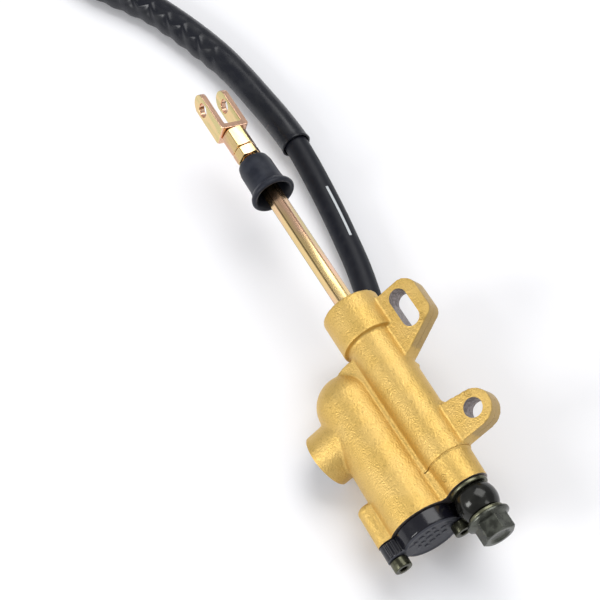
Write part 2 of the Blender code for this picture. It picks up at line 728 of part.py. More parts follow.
def make_pushrod():
    flange_end = BALL_X - 0.0012
    flange_start = flange_end - 0.0014
    pushrod = hexagon("pushrod", ROD_FLATS, ROD_HEX_END - BALL_X, flange_start - BALL_X,
                      PARTS, ROD_TURN)
    place(pushrod, (BALL_X, 0, 0))
    head = turned("ball_head", [
        (flange_start - 0.001 - BALL_X, 0), (flange_start - 0.001 - BALL_X, 0.0028),
        (flange_start - BALL_X, 0.0028), (flange_start - BALL_X, BALL_FLANGE_R),
        (flange_end - BALL_X, BALL_FLANGE_R),
        *arc((0, 0), BALL_R, 105, 0, 7)], COARSE, CUTTERS)
    place(head, (BALL_X, 0, 0))
    join(pushrod, head)
    thread_end = COUPLING_X + 0.0006
    thread = turned("thread_end", [
        (thread_end - BALL_X, 0), (thread_end - BALL_X, ROD_THREAD_R - 0.0005),
        (thread_end + 0.0005 - BALL_X, ROD_THREAD_R), (ROD_HEX_END + 0.001 - BALL_X, ROD_THREAD_R),
        (ROD_HEX_END + 0.001 - BALL_X, 0)], COARSE, CUTTERS)
    place(thread, (BALL_X, 0, 0))
    join(pushrod, thread)
    finish(pushrod, (0.72, 0.56, 0.30), 0.25, 1.0)


def make_clevis():
    yellow_zinc = ((0.74, 0.60, 0.28), 0.24, 1.0)
    nut = chamfered_hex("lock_nut", NUT_FLATS, NUT_X, NUT_X + NUT_T, PARTS, COUPLING_TURN)
    place(nut)
    nut_turning = bpy.data.objects["lock_nut_turning"]
    place(nut_turning)
    coupling = chamfered_hex("clevis_coupling", COUPLING_FLATS, COUPLING_X,
                             COUPLING_X + COUPLING_LENGTH, PARTS, COUPLING_TURN)
    place(coupling)
    place(bpy.data.objects["clevis_coupling_turning"])
    spigot = turned("rivet_spigot", [
        (YOKE_X - YOKE_BASE_T, 0), (YOKE_X - YOKE_BASE_T, SPIGOT_R),
        (COUPLING_X + 0.001, SPIGOT_R), (COUPLING_X + 0.001, 0)], COARSE, CUTTERS)
    place(spigot)
    join(coupling, spigot)
    for piece, start, end in ((nut, NUT_X, NUT_X + NUT_T),
                              (coupling, COUPLING_X, COUPLING_X + COUPLING_LENGTH)):
        thread = rod(piece.name + "_thread", ROD_THREAD_R + 0.00015, start - 0.001,
                     end + 0.001, COARSE, CUTTERS)
        if piece is coupling:
            thread.data.transform(Matrix.Translation((0.0012, 0, 0)))
        place(thread)
        cut(piece, thread)
        finish(piece, *yellow_zinc)

    inner = YOKE_GAP / 2
    outer = inner + YOKE_T
    base = YOKE_X - YOKE_BASE_T
    strip = plate("clevis_yoke", rounded_outline([
        (TIP_X, -outer, 0, 0), (YOKE_X, -outer, 0.0024, 4), (YOKE_X, outer, 0.0024, 4),
        (TIP_X, outer, 0, 0), (TIP_X, inner, 0, 0), (base, inner, 0.0008, 2),
        (base, -inner, 0.0008, 2), (TIP_X, -inner, 0, 0)]),
        -YOKE_WIDTH / 2, YOKE_WIDTH / 2, PARTS)
    place(strip, turn=(CLEVIS_TURN, 0, 0))
    tip = YOKE_WIDTH / 2
    ear_shape = plate("ear_shape", arc((TIP_X + tip, 0), tip, 90, 270, 14)
                      + [(YOKE_X + 0.001, -tip - 0.0001), (YOKE_X + 0.001, tip + 0.0001)],
                      -outer - 0.001, outer + 0.001, CUTTERS)
    place(ear_shape, turn=(CLEVIS_TURN + math.pi / 2, 0, 0))
    combine(strip, "INTERSECT", guide(ear_shape))
    pin = rod("pin_cut", PIN_R, -outer - 0.001, outer + 0.001, COARSE, CUTTERS)
    pin.data.transform(Matrix.Rotation(math.pi / 2, 4, "Z"))
    place(pin, (PIN_X, 0, 0), (CLEVIS_TURN, 0, 0))
    cut(strip, pin)
    rivet = rod("rivet_cut", SPIGOT_R + GAP, base - 0.001, YOKE_X + 0.001, COARSE, CUTTERS)
    place(rivet)
    cut(strip, rivet)
    finish(strip, *yellow_zinc)


def make_boot():
    hole = ROD_FLATS / math.sqrt(3) + BOOT_HOLE_CLEARANCE
    back = 0.0026
    lip = BOOT_LENGTH
    boot = turned("dust_boot", [
        (0, hole), (0, BOOT_R - 0.0022), (0.0007, BOOT_R - 0.0009), (0.0024, BOOT_R - 0.0001),
        (lip - 0.0052, BOOT_R + 0.0002), (lip - 0.0036, BOOT_R + 0.0010),
        (lip - 0.0022, BOOT_LIP_R - 0.0002), (lip - 0.0010, BOOT_LIP_R),
        (lip, BOOT_LIP_R - 0.0006), (lip, BOOT_LIP_R - 0.0018),
        (lip - 0.0030, BOOT_R - BOOT_WALL + 0.0006), (lip - 0.0060, BOOT_R - BOOT_WALL),
        (back, BOOT_R - BOOT_WALL), (back, hole)], FINE, PARTS, True)
    place(boot, (BOOT_START, 0, 0))
    finish(boot, (0.015, 0.017, 0.022), 0.5, 0.0)


# ---------------------------------------------------------------- banjo and hose


def make_crush_washer(name, start, radius):
    washer = turned(name, [
        (start, CRUSH_HOLE_R), (start, radius - 0.0002), (start + 0.0002, radius),
        (start + CRUSH_T - 0.0002, radius), (start + CRUSH_T, radius - 0.0002),
        (start + CRUSH_T, CRUSH_HOLE_R)], FINE, PARTS, True)
    place(washer)
    finish(washer, (0.20, 0.19, 0.09), 0.35, 0.9)


def make_banjo_bolt():
    hex_x = BOLT_X + BOLT_FLANGE_T
    bolt = turned("banjo_bolt", [
        (BOLT_X - 0.002, 0), (BOLT_X - 0.002, BOLT_BORE_R), (BOLT_X - BOLT_LENGTH, BOLT_BORE_R),
        (BOLT_X - BOLT_LENGTH, BOLT_SHANK_R - 0.0006),
        (BOLT_X - BOLT_LENGTH + 0.0006, BOLT_SHANK_R), (BOLT_X, BOLT_SHANK_R),
        (BOLT_X, BOLT_FLANGE_R), (BOLT_X + 0.0009, BOLT_FLANGE_R),
        (hex_x, BOLT_FLATS / 2), (hex_x, 0)], FINE, PARTS)
    place(bolt)
    head = chamfered_hex("bolt_hex", BOLT_FLATS, hex_x - 0.0006, BOLT_END, CUTTERS,
                         math.radians(20.0))
    place(head)
    place(bpy.data.objects["bolt_hex_turning"])
    join(bolt, head)
    dish = turned("bolt_dish", [
        (BOLT_END - 0.0012, 0), (BOLT_END + 0.0004, 0.0048), (BOLT_END + 0.001, 0.0048),
        (BOLT_END + 0.001, 0)], COARSE, CUTTERS)
    place(dish)
    cut(bolt, dish)
    cross = rod("bolt_cross_cut", 0.0012, -BOLT_SHANK_R - 0.001, BOLT_SHANK_R + 0.001, 12, CUTTERS)
    place(cross, (EYE_X, 0, 0), (0, 0, math.pi / 2))
    cut(bolt, cross)
    finish(bolt, (0.11, 0.11, 0.075), 0.3, 0.85)


def make_banjo():
    half = EYE_T / 2
    edge = math.degrees(math.asin(half / EYE_R * 0.96))
    ball = arc((0, 0), EYE_R, 90 - edge, 90 + edge, 8)
    eye = turned("banjo_fitting", [(half, EYE_HOLE_R), (half, ball[0][1]), *ball,
                                   (-half, ball[-1][1]), (-half, EYE_HOLE_R)], FINE, PARTS, True)
    place(eye, (EYE_X, 0, 0))

    bend_start = NECK_LENGTH - NECK_BEND_R
    points = [(0, 0, -EYE_HOLE_R - 0.001), (0, 0, -bend_start)]
    for step in range(1, 9):
        angle = math.pi / 2 * step / 8
        points.append((-NECK_BEND_R * (1 - math.cos(angle)), 0,
                       -bend_start - NECK_BEND_R * math.sin(angle)))
    points.append((-NECK_BEND_R - GAP, 0, -NECK_LENGTH))
    neck = tube("banjo_neck", points, NECK_R, CUTTERS, 4)
    place(neck, (EYE_X, 0, 0), (NECK_TURN, 0, 0))
    join(eye, curve_mesh(neck))
    finish(eye, (0.045, 0.045, 0.05), 0.2, 0.8)


def make_ferrule(name, radius, length):
    """A crimped ferrule along x, from its bare end at x = 0 to the hose's mouth at x = length."""
    profile = [(0, 0), (0, radius * 0.72), (0.0015, radius * 0.94)]
    for ring in range(3):
        start = 0.0035 + ring * (length - 0.007) / 3
        stop = start + (length - 0.007) / 3 * 0.7
        profile += [(start - 0.0004, radius), (start, radius * 0.95), (stop, radius * 0.95),
                    (stop + 0.0004, radius)]
    profile += [(length - 0.0010, radius), (length, radius * 0.93), (length, 0)]
    ferrule = turned(name, profile, COARSE, PARTS)
    return finish(ferrule, (0.10, 0.10, 0.09), 0.35, 0.85)


def make_hose():
    points, spacing = along(HOSE_ROUTE, HOSE_SPACING)
    finish(tube("brake_hose", points, HOSE_R, PARTS, 3), (0.012, 0.012, 0.014), 0.55, 0.0)

    first = round(SLEEVE_START / spacing)
    last = first + round(SLEEVE_LENGTH / spacing)
    sleeve = tube("hose_sleeve", points[first:last + 1], HOSE_R + GAP, PARTS, 3, caps=False)
    sleeve = curve_mesh(sleeve)
    wall = sleeve.modifiers.new("wall", "SOLIDIFY")
    wall.thickness = SLEEVE_R - HOSE_R - GAP
    wall.offset = 1.0
    finish(sleeve, (0.01, 0.01, 0.012), 0.2, 0.0)

    near = make_ferrule("hose_ferrule", FERRULE_R, FERRULE_LENGTH)
    foot = Matrix.Rotation(NECK_TURN, 3, "X") @ Vector((0, 0, -NECK_LENGTH))
    place(near, (EYE_X - NECK_BEND_R - 2 * GAP, foot.y, foot.z), (0, 0, math.pi))

    heading = (points[-1] - points[-2]).normalized()
    far = make_ferrule("end_ferrule", FERRULE_R, FERRULE_LENGTH)
    far.location = points[-1] + heading * (GAP + FERRULE_LENGTH)
    far.rotation_euler = (-heading).to_track_quat("X", "Z").to_euler()
    make_end_banjo(far.location + heading * GAP, heading)


def make_end_banjo(start, heading):
    """The far banjo, its eye flat: a straight neck into the ferrule."""
    half = EYE_T / 2
    eye = turned("end_banjo", [(half, EYE_HOLE_R), (half, EYE_R * 0.84), (half * 0.5, EYE_R),
                               (-half * 0.5, EYE_R), (-half, EYE_R * 0.84), (-half, EYE_HOLE_R)],
                 FINE, PARTS, True)
    reach = EYE_R + 0.012
    eye.location = start + heading * reach
    eye.rotation_euler = (0, math.pi / 2, 0)
    neck = rod("end_neck", NECK_R, 0, reach - EYE_HOLE_R - 0.001, 12, CUTTERS)
    neck.location = start
    neck.rotation_euler = heading.to_track_quat("X", "Z").to_euler()
    join(eye, neck)
    finish(eye, (0.045, 0.045, 0.05), 0.2, 0.8)


# ---------------------------------------------------------------- the object

clear_scene()
PARTS = new_collection("brake_master_cylinder")
CUTTERS = new_collection("cutters")
AXES = bpy.data.objects.new("cylinder_axes", None)
CUTTERS.objects.link(AXES)
AXES.location = AXES_PLACE
AXES.rotation_euler = (ROLL, 0, 0)

make_casting()
make_sight_glass()
make_cap()
make_diaphragm()
make_cap_screw("cap_screw_left", LEFT_SCREW)
make_cap_screw("cap_screw_right", RIGHT_SCREW)
make_piston_set()
make_spring()
make_retainers()
make_pushrod()
make_clevis()
make_boot()
make_crush_washer("crush_washer_inner", BODY_END + GAP, INNER_CRUSH_R)
make_crush_washer("crush_washer_outer", OUTER_CRUSH_X, OUTER_CRUSH_R)
make_banjo_bolt()
make_banjo()
make_hose()
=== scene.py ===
"""The looks of a rear brake master cylinder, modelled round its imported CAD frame.

The pieces are modelled on the cylinder's own axes: x runs along the bore from the collar's end
face to the outlet, y towards the mounting lugs and z out of the lugs' front. Each finished piece
is then laid down as the frame lies: rolled on its sight glass boss and its hose.
"""

import json
import math

import bmesh
import bpy
from bpy.props import FloatProperty, FloatVectorProperty, IntProperty, PointerProperty
from mathutils import Matrix, Vector


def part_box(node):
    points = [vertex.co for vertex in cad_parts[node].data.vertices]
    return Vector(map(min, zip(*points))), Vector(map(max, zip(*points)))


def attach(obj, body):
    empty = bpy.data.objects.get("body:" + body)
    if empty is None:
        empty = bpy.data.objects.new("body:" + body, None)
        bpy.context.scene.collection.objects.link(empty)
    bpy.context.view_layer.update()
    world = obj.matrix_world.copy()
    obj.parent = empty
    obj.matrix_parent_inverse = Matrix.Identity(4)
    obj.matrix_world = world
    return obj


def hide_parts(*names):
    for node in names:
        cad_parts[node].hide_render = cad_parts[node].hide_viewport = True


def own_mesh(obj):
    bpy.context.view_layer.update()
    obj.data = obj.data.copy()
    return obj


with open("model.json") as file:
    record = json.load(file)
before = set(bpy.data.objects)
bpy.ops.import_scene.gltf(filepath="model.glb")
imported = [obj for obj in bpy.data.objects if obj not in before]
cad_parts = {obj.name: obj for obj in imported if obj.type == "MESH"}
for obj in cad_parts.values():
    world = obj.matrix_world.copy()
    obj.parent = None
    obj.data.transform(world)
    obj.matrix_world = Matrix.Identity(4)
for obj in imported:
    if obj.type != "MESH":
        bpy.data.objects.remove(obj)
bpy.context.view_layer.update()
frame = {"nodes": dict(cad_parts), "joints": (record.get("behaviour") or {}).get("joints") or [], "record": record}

bl_info = {
    "name": "Brake master cylinder",
    "version": (1, 0, 0),
    "blender": (4, 5, 0),
    "location": "View3D > Sidebar > Master cylinder",
    "description": "Models a rear brake master cylinder with its pushrod, outlet and hose",
    "category": "Object",
}

UNTURNED = Matrix.Identity(4)
QUARTER = math.pi / 2
GAP = 0.0003            # between the faces of pieces that touch
PAST = 0.001            # how far a tool runs past the face that it cuts
WELL_PAST = 0.002       # the same, for the tools that bore the casting
WELD = 0.000002         # points closer than this are one point
THREAD_ROOM = 0.00015   # between a nut's thread and the rod's
FERRULE_LENGTH = 0.0240


def mount_axis(name):
    return Vector(next(m["axis"] for m in frame["record"]["mounts"] if m["name"] == name))


def centre_of(node):
    low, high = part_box(node)
    return (low + high) / 2


LUG_BACK_AXIS = mount_axis("slot_lug_back")
EAR_AXIS = mount_axis("clevis_ear")
ROLL = math.atan2(LUG_BACK_AXIS.y, -LUG_BACK_AXIS.z)
COLLAR_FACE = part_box("cylinder_body")[0].x
AXES = (Matrix.Translation((COLLAR_FACE, centre_of("piston").y, centre_of("piston").z))
        @ Matrix.Rotation(ROLL, 4, "X"))
CLEVIS_TURN = math.atan2(EAR_AXIS.z, EAR_AXIS.y) - ROLL


def span(node):
    """Where a node starts and ends along the bore, from the collar's face."""
    low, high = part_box(node)
    return low.x - COLLAR_FACE, high.x - COLLAR_FACE


BODY_END = span("cylinder_body")[1]

# The hose's route, in the frame, from the first ferrule's mouth to the far one.
HOSE_ROUTE = (
    (0.0684, 0.0114, 0.0065),
    (0.0530, 0.0118, 0.0061),
    (0.0380, 0.0133, 0.0057),
    (0.0230, 0.0160, 0.0055),
    (0.0080, 0.0194, 0.0055),
    (-0.0070, 0.0230, 0.0055),
    (-0.0220, 0.0264, 0.0055),
    (-0.0370, 0.0288, 0.0055),
    (-0.0520, 0.0309, 0.0056),
    (-0.0670, 0.0325, 0.0060),
    (-0.0800, 0.0336, 0.0064),
    (-0.0920, 0.0341, 0.0068),
    (-0.1070, 0.0335, 0.0070),
    (-0.1220, 0.0321, 0.0070),
    (-0.1370, 0.0305, 0.0070),
    (-0.1520, 0.0282, 0.0070),
    (-0.1670, 0.0246, 0.0070),
    (-0.1820, 0.0201, 0.0070),
    (-0.1970, 0.0146, 0.0070),
    (-0.2110, 0.0072, 0.0070),
    (-0.2255, -0.0008, 0.0070),
    (-0.2420, -0.0067, 0.0070),
    (-0.2600, -0.0083, 0.0070),
    (-0.2775, -0.0048, 0.0070),
    (-0.2935, 0.0040, 0.0070),
    (-0.3055, 0.0172, 0.0068),
    (-0.3128, 0.0335, 0.0066),
    (-0.3150, 0.0505, 0.0066),
)


# ------------------------------------------------------------------ settings


def size(name, default, description):
    return FloatProperty(name=name, description=description, default=default, min=0.0,
                         precision=5, unit="LENGTH")


def place(name, default, description):
    return FloatProperty(name=name, description=description, default=default, precision=5,
                         unit="LENGTH")


def angle(name, degrees, description):
    return FloatProperty(name=name, description=description, default=math.radians(degrees),
                         subtype="ANGLE")


def colour(name, default, description):
    return FloatVectorProperty(name=name, description=description, default=default, size=3,
                               min=0.0, max=1.0, subtype="COLOR")


class CastingSettings(bpy.types.PropertyGroup):
    collar_radius: size("Collar radius", 0.0122, "Radius of the collar at the rod's end")
    collar_length: size("Collar length", 0.0172, "Length of the collar along the bore")
    barrel_radius: size("Barrel radius", 0.0101, "Radius of the barrel next to the collar")
    barrel_end_radius: size("Barrel end radius", 0.0096, "Radius of the barrel at the step")
    step: size("Step", 0.0750, "Where the barrel steps down to the outlet boss")
    outlet_radius: size("Outlet radius", 0.0083, "Radius of the outlet boss at its face")
    reservoir_y: place("Reservoir axis", -0.0218, "The reservoir's axis beside the bore")
    reservoir_radius: size("Reservoir radius", 0.0130, "Radius of the reservoir at its dome")
    reservoir_end: size("Reservoir mouth", 0.0137, "Radius of the reservoir at the cap")
    dome: size("Dome centre", 0.0321, "Centre of the reservoir's dome along the bore")
    sight_x: size("Sight glass", 0.0430, "The sight glass boss's place along the bore")
    sight_end: size("Sight glass face", 0.0416, "The boss's face, from the bore")
    sight_radius: size("Sight glass boss", 0.0114, "Radius of the sight glass boss")
    lug_front: size("Lug front", 0.0030, "The lugs' front face, from the bore's axis")
    lug_back: size("Lug back", 0.0057, "The lugs' back face, from the bore's axis")
    hole_line: size("Hole line", 0.0195, "Distance of the lug holes from the bore")
    slot_x: size("Slot", 0.0160, "The slot's centre along the bore")
    slot_length: size("Slot length", 0.0172, "The slot's length from end to end")
    slot_radius: size("Slot radius", 0.0038, "Radius of the slot's ends")
    hole_x: size("Hole", 0.0660, "The round hole's place along the bore")
    hole_radius: size("Hole radius", 0.0039, "Radius of the round hole")
    grain: size("Skin grain", 0.0007, "Width of the cast skin's grain under the paint")
    gold: colour("Gold", (0.66, 0.435, 0.118), "The gold paint")
    shade: colour("Gold, in grain", (0.40, 0.25, 0.050), "The paint where the grain is low")


class CapSettings(bpy.types.PropertyGroup):
    radius: size("Cap radius", 0.0123, "Radius of the cap")
    ear_radius: size("Ear radius", 0.0040, "Radius of the cap's ears")
    left_y: place("Left screw, y", -0.0358, "The left screw's place")
    left_z: place("Left screw, z", 0.0054, "The left screw's place")
    right_y: place("Right screw, y", -0.0117, "The right screw's place")
    right_z: place("Right screw, z", -0.0043, "The right screw's place")
    screw_head: size("Screw head", 0.0036, "Radius of the screws' heads")
    screw_head_height: size("Screw head height", 0.0040, "Height of the screws' heads")
    screw_radius: size("Screw radius", 0.0019, "Radius of the screws' shanks")
    socket: size("Socket", 0.0018, "Radius of the screws' hexagon sockets")
    black: colour("Cap black", (0.006, 0.006, 0.010), "The cap's colour")
    olive: colour("Olive zinc", (0.105, 0.105, 0.068), "The dark plating of screws and bolt")


class OutletSettings(bpy.types.PropertyGroup):
    washer_hole: size("Washer hole", 0.0052, "Radius of the crush washers' holes")
    ball_radius: size("Ball radius", 0.0082, "Radius of the banjo's ball")
    neck_radius: size("Neck radius", 0.0040, "Radius of the banjo's neck")
    neck_bend: size("Neck bend", 0.0090, "Radius of the bend at the neck's foot")
    neck_lean: angle("Neck lean", 10.0, "How far the neck leans from the vertical")
    shank: size("Bolt shank", 0.0048, "Radius of the bolt's shank")
    flange: size("Bolt flange", 0.0086, "Radius of the bolt's flange")
    flange_thickness: size("Flange thickness", 0.0018, "Thickness of the bolt's flange")
    flats: size("Bolt flats", 0.0120, "The bolt head's width across its flats")
    head_turn: angle("Bolt head turn", 20.0, "How far the bolt's head is turned")
    black: colour("Banjo black", (0.020, 0.020, 0.017), "The banjo's plating")


class RodSettings(bpy.types.PropertyGroup):
    flats: size("Rod flats", 0.0070, "The rod's width across its flats")
    turn: angle("Rod turn", 9.0, "How far the rod's flats are turned")
    thread: size("Thread radius", 0.0030, "Radius of the rod's thread")
    pitch: size("Thread pitch", 0.0010, "Pitch of the rod's thread")
    nut_flats: size("Nut flats", 0.0100, "The nuts' width across their flats")
    nut_turn: angle("Nut turn", -6.0, "How far the lock nut is turned")
    coupling_turn: angle("Coupling turn", -6.0, "How far the clevis's coupling is turned")
    yoke_thickness: size("Yoke thickness", 0.0026, "Thickness of the yoke's ears")
    yoke_base: size("Yoke base", 0.0026, "Thickness of the yoke's base")
    yoke_gap: size("Yoke gap", 0.0080, "Gap between the yoke's ears")
    yoke_width: size("Yoke width", 0.0094, "Width of the yoke's ears")
    pin_reach: size("Pin reach", 0.0164, "From the yoke's base to its pin's axis")
    pin_radius: size("Pin hole", 0.0031, "Radius of the pin holes")
    spigot: size("Spigot", 0.0032, "Radius of the coupling's riveted spigot")
    boot_radius: size("Boot radius", 0.0074, "Radius of the boot's sleeve")
    boot_lip: size("Boot lip", 0.0098, "Radius of the boot's lip")
    boot_wall: size("Boot wall", 0.0016, "Thickness of the boot's wall")
    zinc: colour("Yellow zinc", (0.80, 0.59, 0.27), "The yellow plating")
    blush: colour("Pink zinc", (0.84, 0.53, 0.37), "The plating where it turns pink")
    moss: colour("Green zinc", (0.58, 0.53, 0.21), "The plating where it turns green")
    rubber: colour("Boot rubber", (0.009, 0.011, 0.019), "The boot's rubber")


class HoseSettings(bpy.types.PropertyGroup):
    radius: size("Hose radius", 0.0054, "Radius of the hose")
    length: size("Hose length", 0.427, "Length of the hose between its ferrules")
    spacing: size("Ring spacing", 0.0016, "Distance between the rings of a tube's mesh")
    sleeve_start: size("Sleeve start", 0.1610, "Where the sleeve starts along the hose")
    sleeve_length: size("Sleeve length", 0.1700, "Length of the sleeve")
    sleeve_radius: size("Sleeve radius", 0.0066, "Radius of the sleeve where it is smooth")
    smooth_length: size("Smooth length", 0.0560, "Length of the sleeve's smooth end")
    fold: size("Fold", 0.0108, "Length of one fold of the wrinkled stretch")
    dash_start: size("Dash start", 0.1051, "Where the printed dash starts along the hose")
    dash_length: size("Dash length", 0.0275, "Length of the printed dash")
    black: colour("Hose black", (0.006, 0.007, 0.012), "The hose's rubber")
    ink: colour("Dash", (0.60, 0.63, 0.65), "The printed dash")


class StageSettings(bpy.types.PropertyGroup):
    lens: FloatProperty(name="Lens", description="Focal length in millimetres", default=90.0)
    x: place("Camera x", 0.2834, "The camera's place")
    y: place("Camera y", -0.1163, "The camera's place")
    z: place("Camera z", 0.5397, "The camera's place")
    azimuth: angle("Azimuth", 69.43, "Direction from the object to the camera")
    elevation: angle("Elevation", 58.71, "Height of the camera above the horizon")
    roll: angle("Roll", -9.06, "The camera's turn about its own axis")
    floor: colour("Floor", (0.91, 0.91, 0.93), "The floor's colour")
    sides: IntProperty(name="Round sides", description="Sides of a round piece", default=96)


# ------------------------------------------------------------------ modelling


def deselect():
    bpy.ops.object.select_all(action="DESELECT")


def only(piece):
    deselect()
    piece.select_set(True)
    bpy.context.view_layer.objects.active = piece


def put(piece, where):
    """Apply a place to a piece, so that the place is in its mesh."""
    only(piece)
    piece.matrix_world = where
    bpy.ops.object.transform_apply(location=True, rotation=True, scale=True)
    return piece


def shift(x=0.0, y=0.0, z=0.0):
    return Matrix.Translation((x, y, z))


def vertex_chain(name, points):
    """One vertex extruded along the points; the new object is left in edit mode."""
    deselect()
    bpy.ops.mesh.primitive_plane_add(size=0.001)
    piece = bpy.context.object
    piece.name = name
    bpy.ops.object.mode_set(mode="EDIT")
    bpy.ops.mesh.merge(type="CENTER")
    bpy.ops.transform.translate(value=Vector(points[0]))
    for start, end in zip(points, points[1:]):
        step = Vector(end) - Vector(start)
        bpy.ops.mesh.extrude_vertices_move(TRANSFORM_OT_translate={"value": step})
    bpy.ops.mesh.select_all(action="SELECT")
    return piece


def close_up():
    """Weld the mesh that is being edited, face it outwards and leave edit mode."""
    bpy.ops.mesh.select_all(action="SELECT")
    bpy.ops.mesh.remove_doubles(threshold=WELD)
    bpy.ops.mesh.normals_make_consistent(inside=False)
    bpy.ops.object.mode_set(mode="OBJECT")


def eased(points, radius, closed=False, steps=4):
    """The same outline with its corners rounded, as far as its sides leave room."""
    if radius == 0.0:
        return list(points)
    knots = [Vector(point) for point in points]
    result = []
    for index, here in enumerate(knots):
        if not closed and index in (0, len(knots) - 1):
            result.append(tuple(here))
            continue
        before = knots[index - 1] - here
        after = knots[(index + 1) % len(knots)] - here
        opening = before.angle(after)
        if opening > math.radians(165):
            result.append(tuple(here))
            continue
        room = min(before.length, after.length) * 0.45
        reach = min(radius / math.tan(opening / 2), room)
        start = here + before.normalized() * reach
        end = here + after.normalized() * reach
        for step in range(steps + 1):
            t = step / steps
            result.append(tuple(start.lerp(here, t).lerp(here.lerp(end, t), t)))
    return result


def turned(name, profile, where=UNTURNED, ease=0.0, ring=False):
    """A shape turned about x: a vertex chain along the profile (x, radius), spun."""
    points = eased(profile, ease, closed=ring)
    if ring:
        points.append(points[0])
    piece = vertex_chain(name, [(x, radius, 0) for x, radius in points])
    sides = bpy.context.scene.cylinder_stage.sides
    bpy.ops.mesh.spin(steps=sides, angle=math.tau, center=(0, 0, 0), axis=(1, 0, 0))
    close_up()
    return put(piece, where)


def plate(name, outline, low, high, where=UNTURNED, ease=0.0):
    """A flat outline (x, y), extruded from z = low to z = high."""
    points = eased(outline, ease, closed=True)
    piece = vertex_chain(name, [(x, y, low) for x, y in points + points[:1]])
    bpy.ops.mesh.remove_doubles(threshold=WELD)
    bpy.ops.mesh.edge_face_add()
    bpy.ops.mesh.extrude_region_move(TRANSFORM_OT_translate={"value": (0, 0, high - low)})
    close_up()
    return put(piece, where)


def bar(name, radius, start, end, sides, turn=0.0, where=UNTURNED):
    """A straight bar along x; six sides make a hexagon with a flat towards y."""
    deselect()
    bpy.ops.mesh.primitive_cylinder_add(vertices=sides, radius=radius, depth=end - start)
    half_step = math.pi / sides
    upright = Matrix.Rotation(turn + half_step, 4, "X") @ Matrix.Rotation(QUARTER, 4, "Y")
    piece = bpy.context.object
    piece.name = name
    return put(piece, where @ shift((start + end) / 2) @ upright)


def block(name, low, high, where=UNTURNED):
    low, high = Vector(low), Vector(high)
    deselect()
    bpy.ops.mesh.primitive_cube_add(size=1.0)
    piece = bpy.context.object
    piece.name = name
    return put(piece, where @ Matrix.LocRotScale((low + high) / 2, None, high - low))


def modify(piece, kind, **settings):
    """Add a modifier and apply it."""
    only(piece)
    bpy.ops.object.modifier_add(type=kind)
    modifier = piece.modifiers[-1]
    for key, value in settings.items():
        setattr(modifier, key, value)
    bpy.ops.object.modifier_apply(modifier=modifier.name)
    return piece


def boolean(piece, tool, operation="DIFFERENCE"):
    """Cut a piece with a tool, or join or trim it, and throw the tool away."""
    modify(piece, "BOOLEAN", object=tool, operation=operation, solver="EXACT",
           material_mode="TRANSFER")
    bpy.data.objects.remove(tool)
    return piece


def copied(piece, name):
    """Another of the same piece, with a mesh of its own."""
    twin = piece.copy()
    twin.data = piece.data.copy()
    twin.name = name
    bpy.context.scene.collection.objects.link(twin)
    return twin


def join(name, pieces):
    deselect()
    for piece in pieces:
        piece.select_set(True)
    bpy.context.view_layer.objects.active = pieces[0]
    bpy.ops.object.join()
    pieces[0].name = name
    return pieces[0]


def moulded(name, pieces, voxel, rounds):
    """Pieces melted into one skin whose corners are soft, as on a casting or a forging."""
    piece = join(name, pieces)
    modify(piece, "REMESH", mode="VOXEL", voxel_size=voxel, use_smooth_shade=True)
    if rounds:
        modify(piece, "SMOOTH", factor=0.5, iterations=rounds)
    return piece


def chamfered_hex(name, flats, start, end, turn):
    """A nut's hexagon, its corners turned off at both ends."""
    radius = flats / math.sqrt(3)
    drop = (radius - flats / 2) * 0.62
    face, tip, full = flats * 0.475, flats * 0.44, radius + 0.0001
    nut = bar(name, radius, start, end, 6, turn)
    turning = turned(name + "_turning", [
        (start - PAST, 0), (start - PAST, tip), (start, face), (start + drop, full),
        (end - drop, full), (end, face), (end + PAST, tip), (end + PAST, 0)])
    return boolean(nut, turning, "INTERSECT")


def thread(start, end, radius, pitch):
    """The profile of a thread between two places along x."""
    depth = pitch * 0.55
    turns = max(1, round(abs(end - start) / pitch))
    points = []
    for turn in range(turns):
        here = start + (end - start) * turn / turns
        after = start + (end - start) * (turn + 0.5) / turns
        points += [(here, radius - depth), (after, radius)]
    return points


def arc(centre, radius, start, end, steps):
    """Points on an arc, angles in degrees."""
    turns = [math.radians(start + (end - start) * step / steps) for step in range(steps + 1)]
    return [(centre[0] + radius * math.cos(turn), centre[1] + radius * math.sin(turn))
            for turn in turns]


def shade(piece, degrees=35.0):
    only(piece)
    bpy.ops.object.shade_smooth_by_angle(angle=math.radians(degrees))
    return piece


def mark_facing(piece, axis):
    """Write how far each point's surface faces an axis into the piece's facing attribute."""
    layer = piece.data.attributes.new("facing", "FLOAT", "POINT")
    for value, vertex in zip(layer.data, piece.data.vertices):
        value.value = abs(vertex.normal.dot(axis))


def dressed(piece, look, body, node):
    """Give a piece its material and its body, and hide the node that it stands for."""
    if look is not None:
        piece.data.materials.clear()
        piece.data.materials.append(look)
    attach(piece, body)
    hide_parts(node)
    return piece


def finished(piece, look, body, node, world=AXES, degrees=35.0, facing=None):
    """Lay a piece down in the frame and dress it."""
    put(piece, world)
    shade(piece, degrees)
    if facing is not None:
        mark_facing(piece, facing)
    return dressed(piece, look, body, node)


# ------------------------------------------------------------------ cords


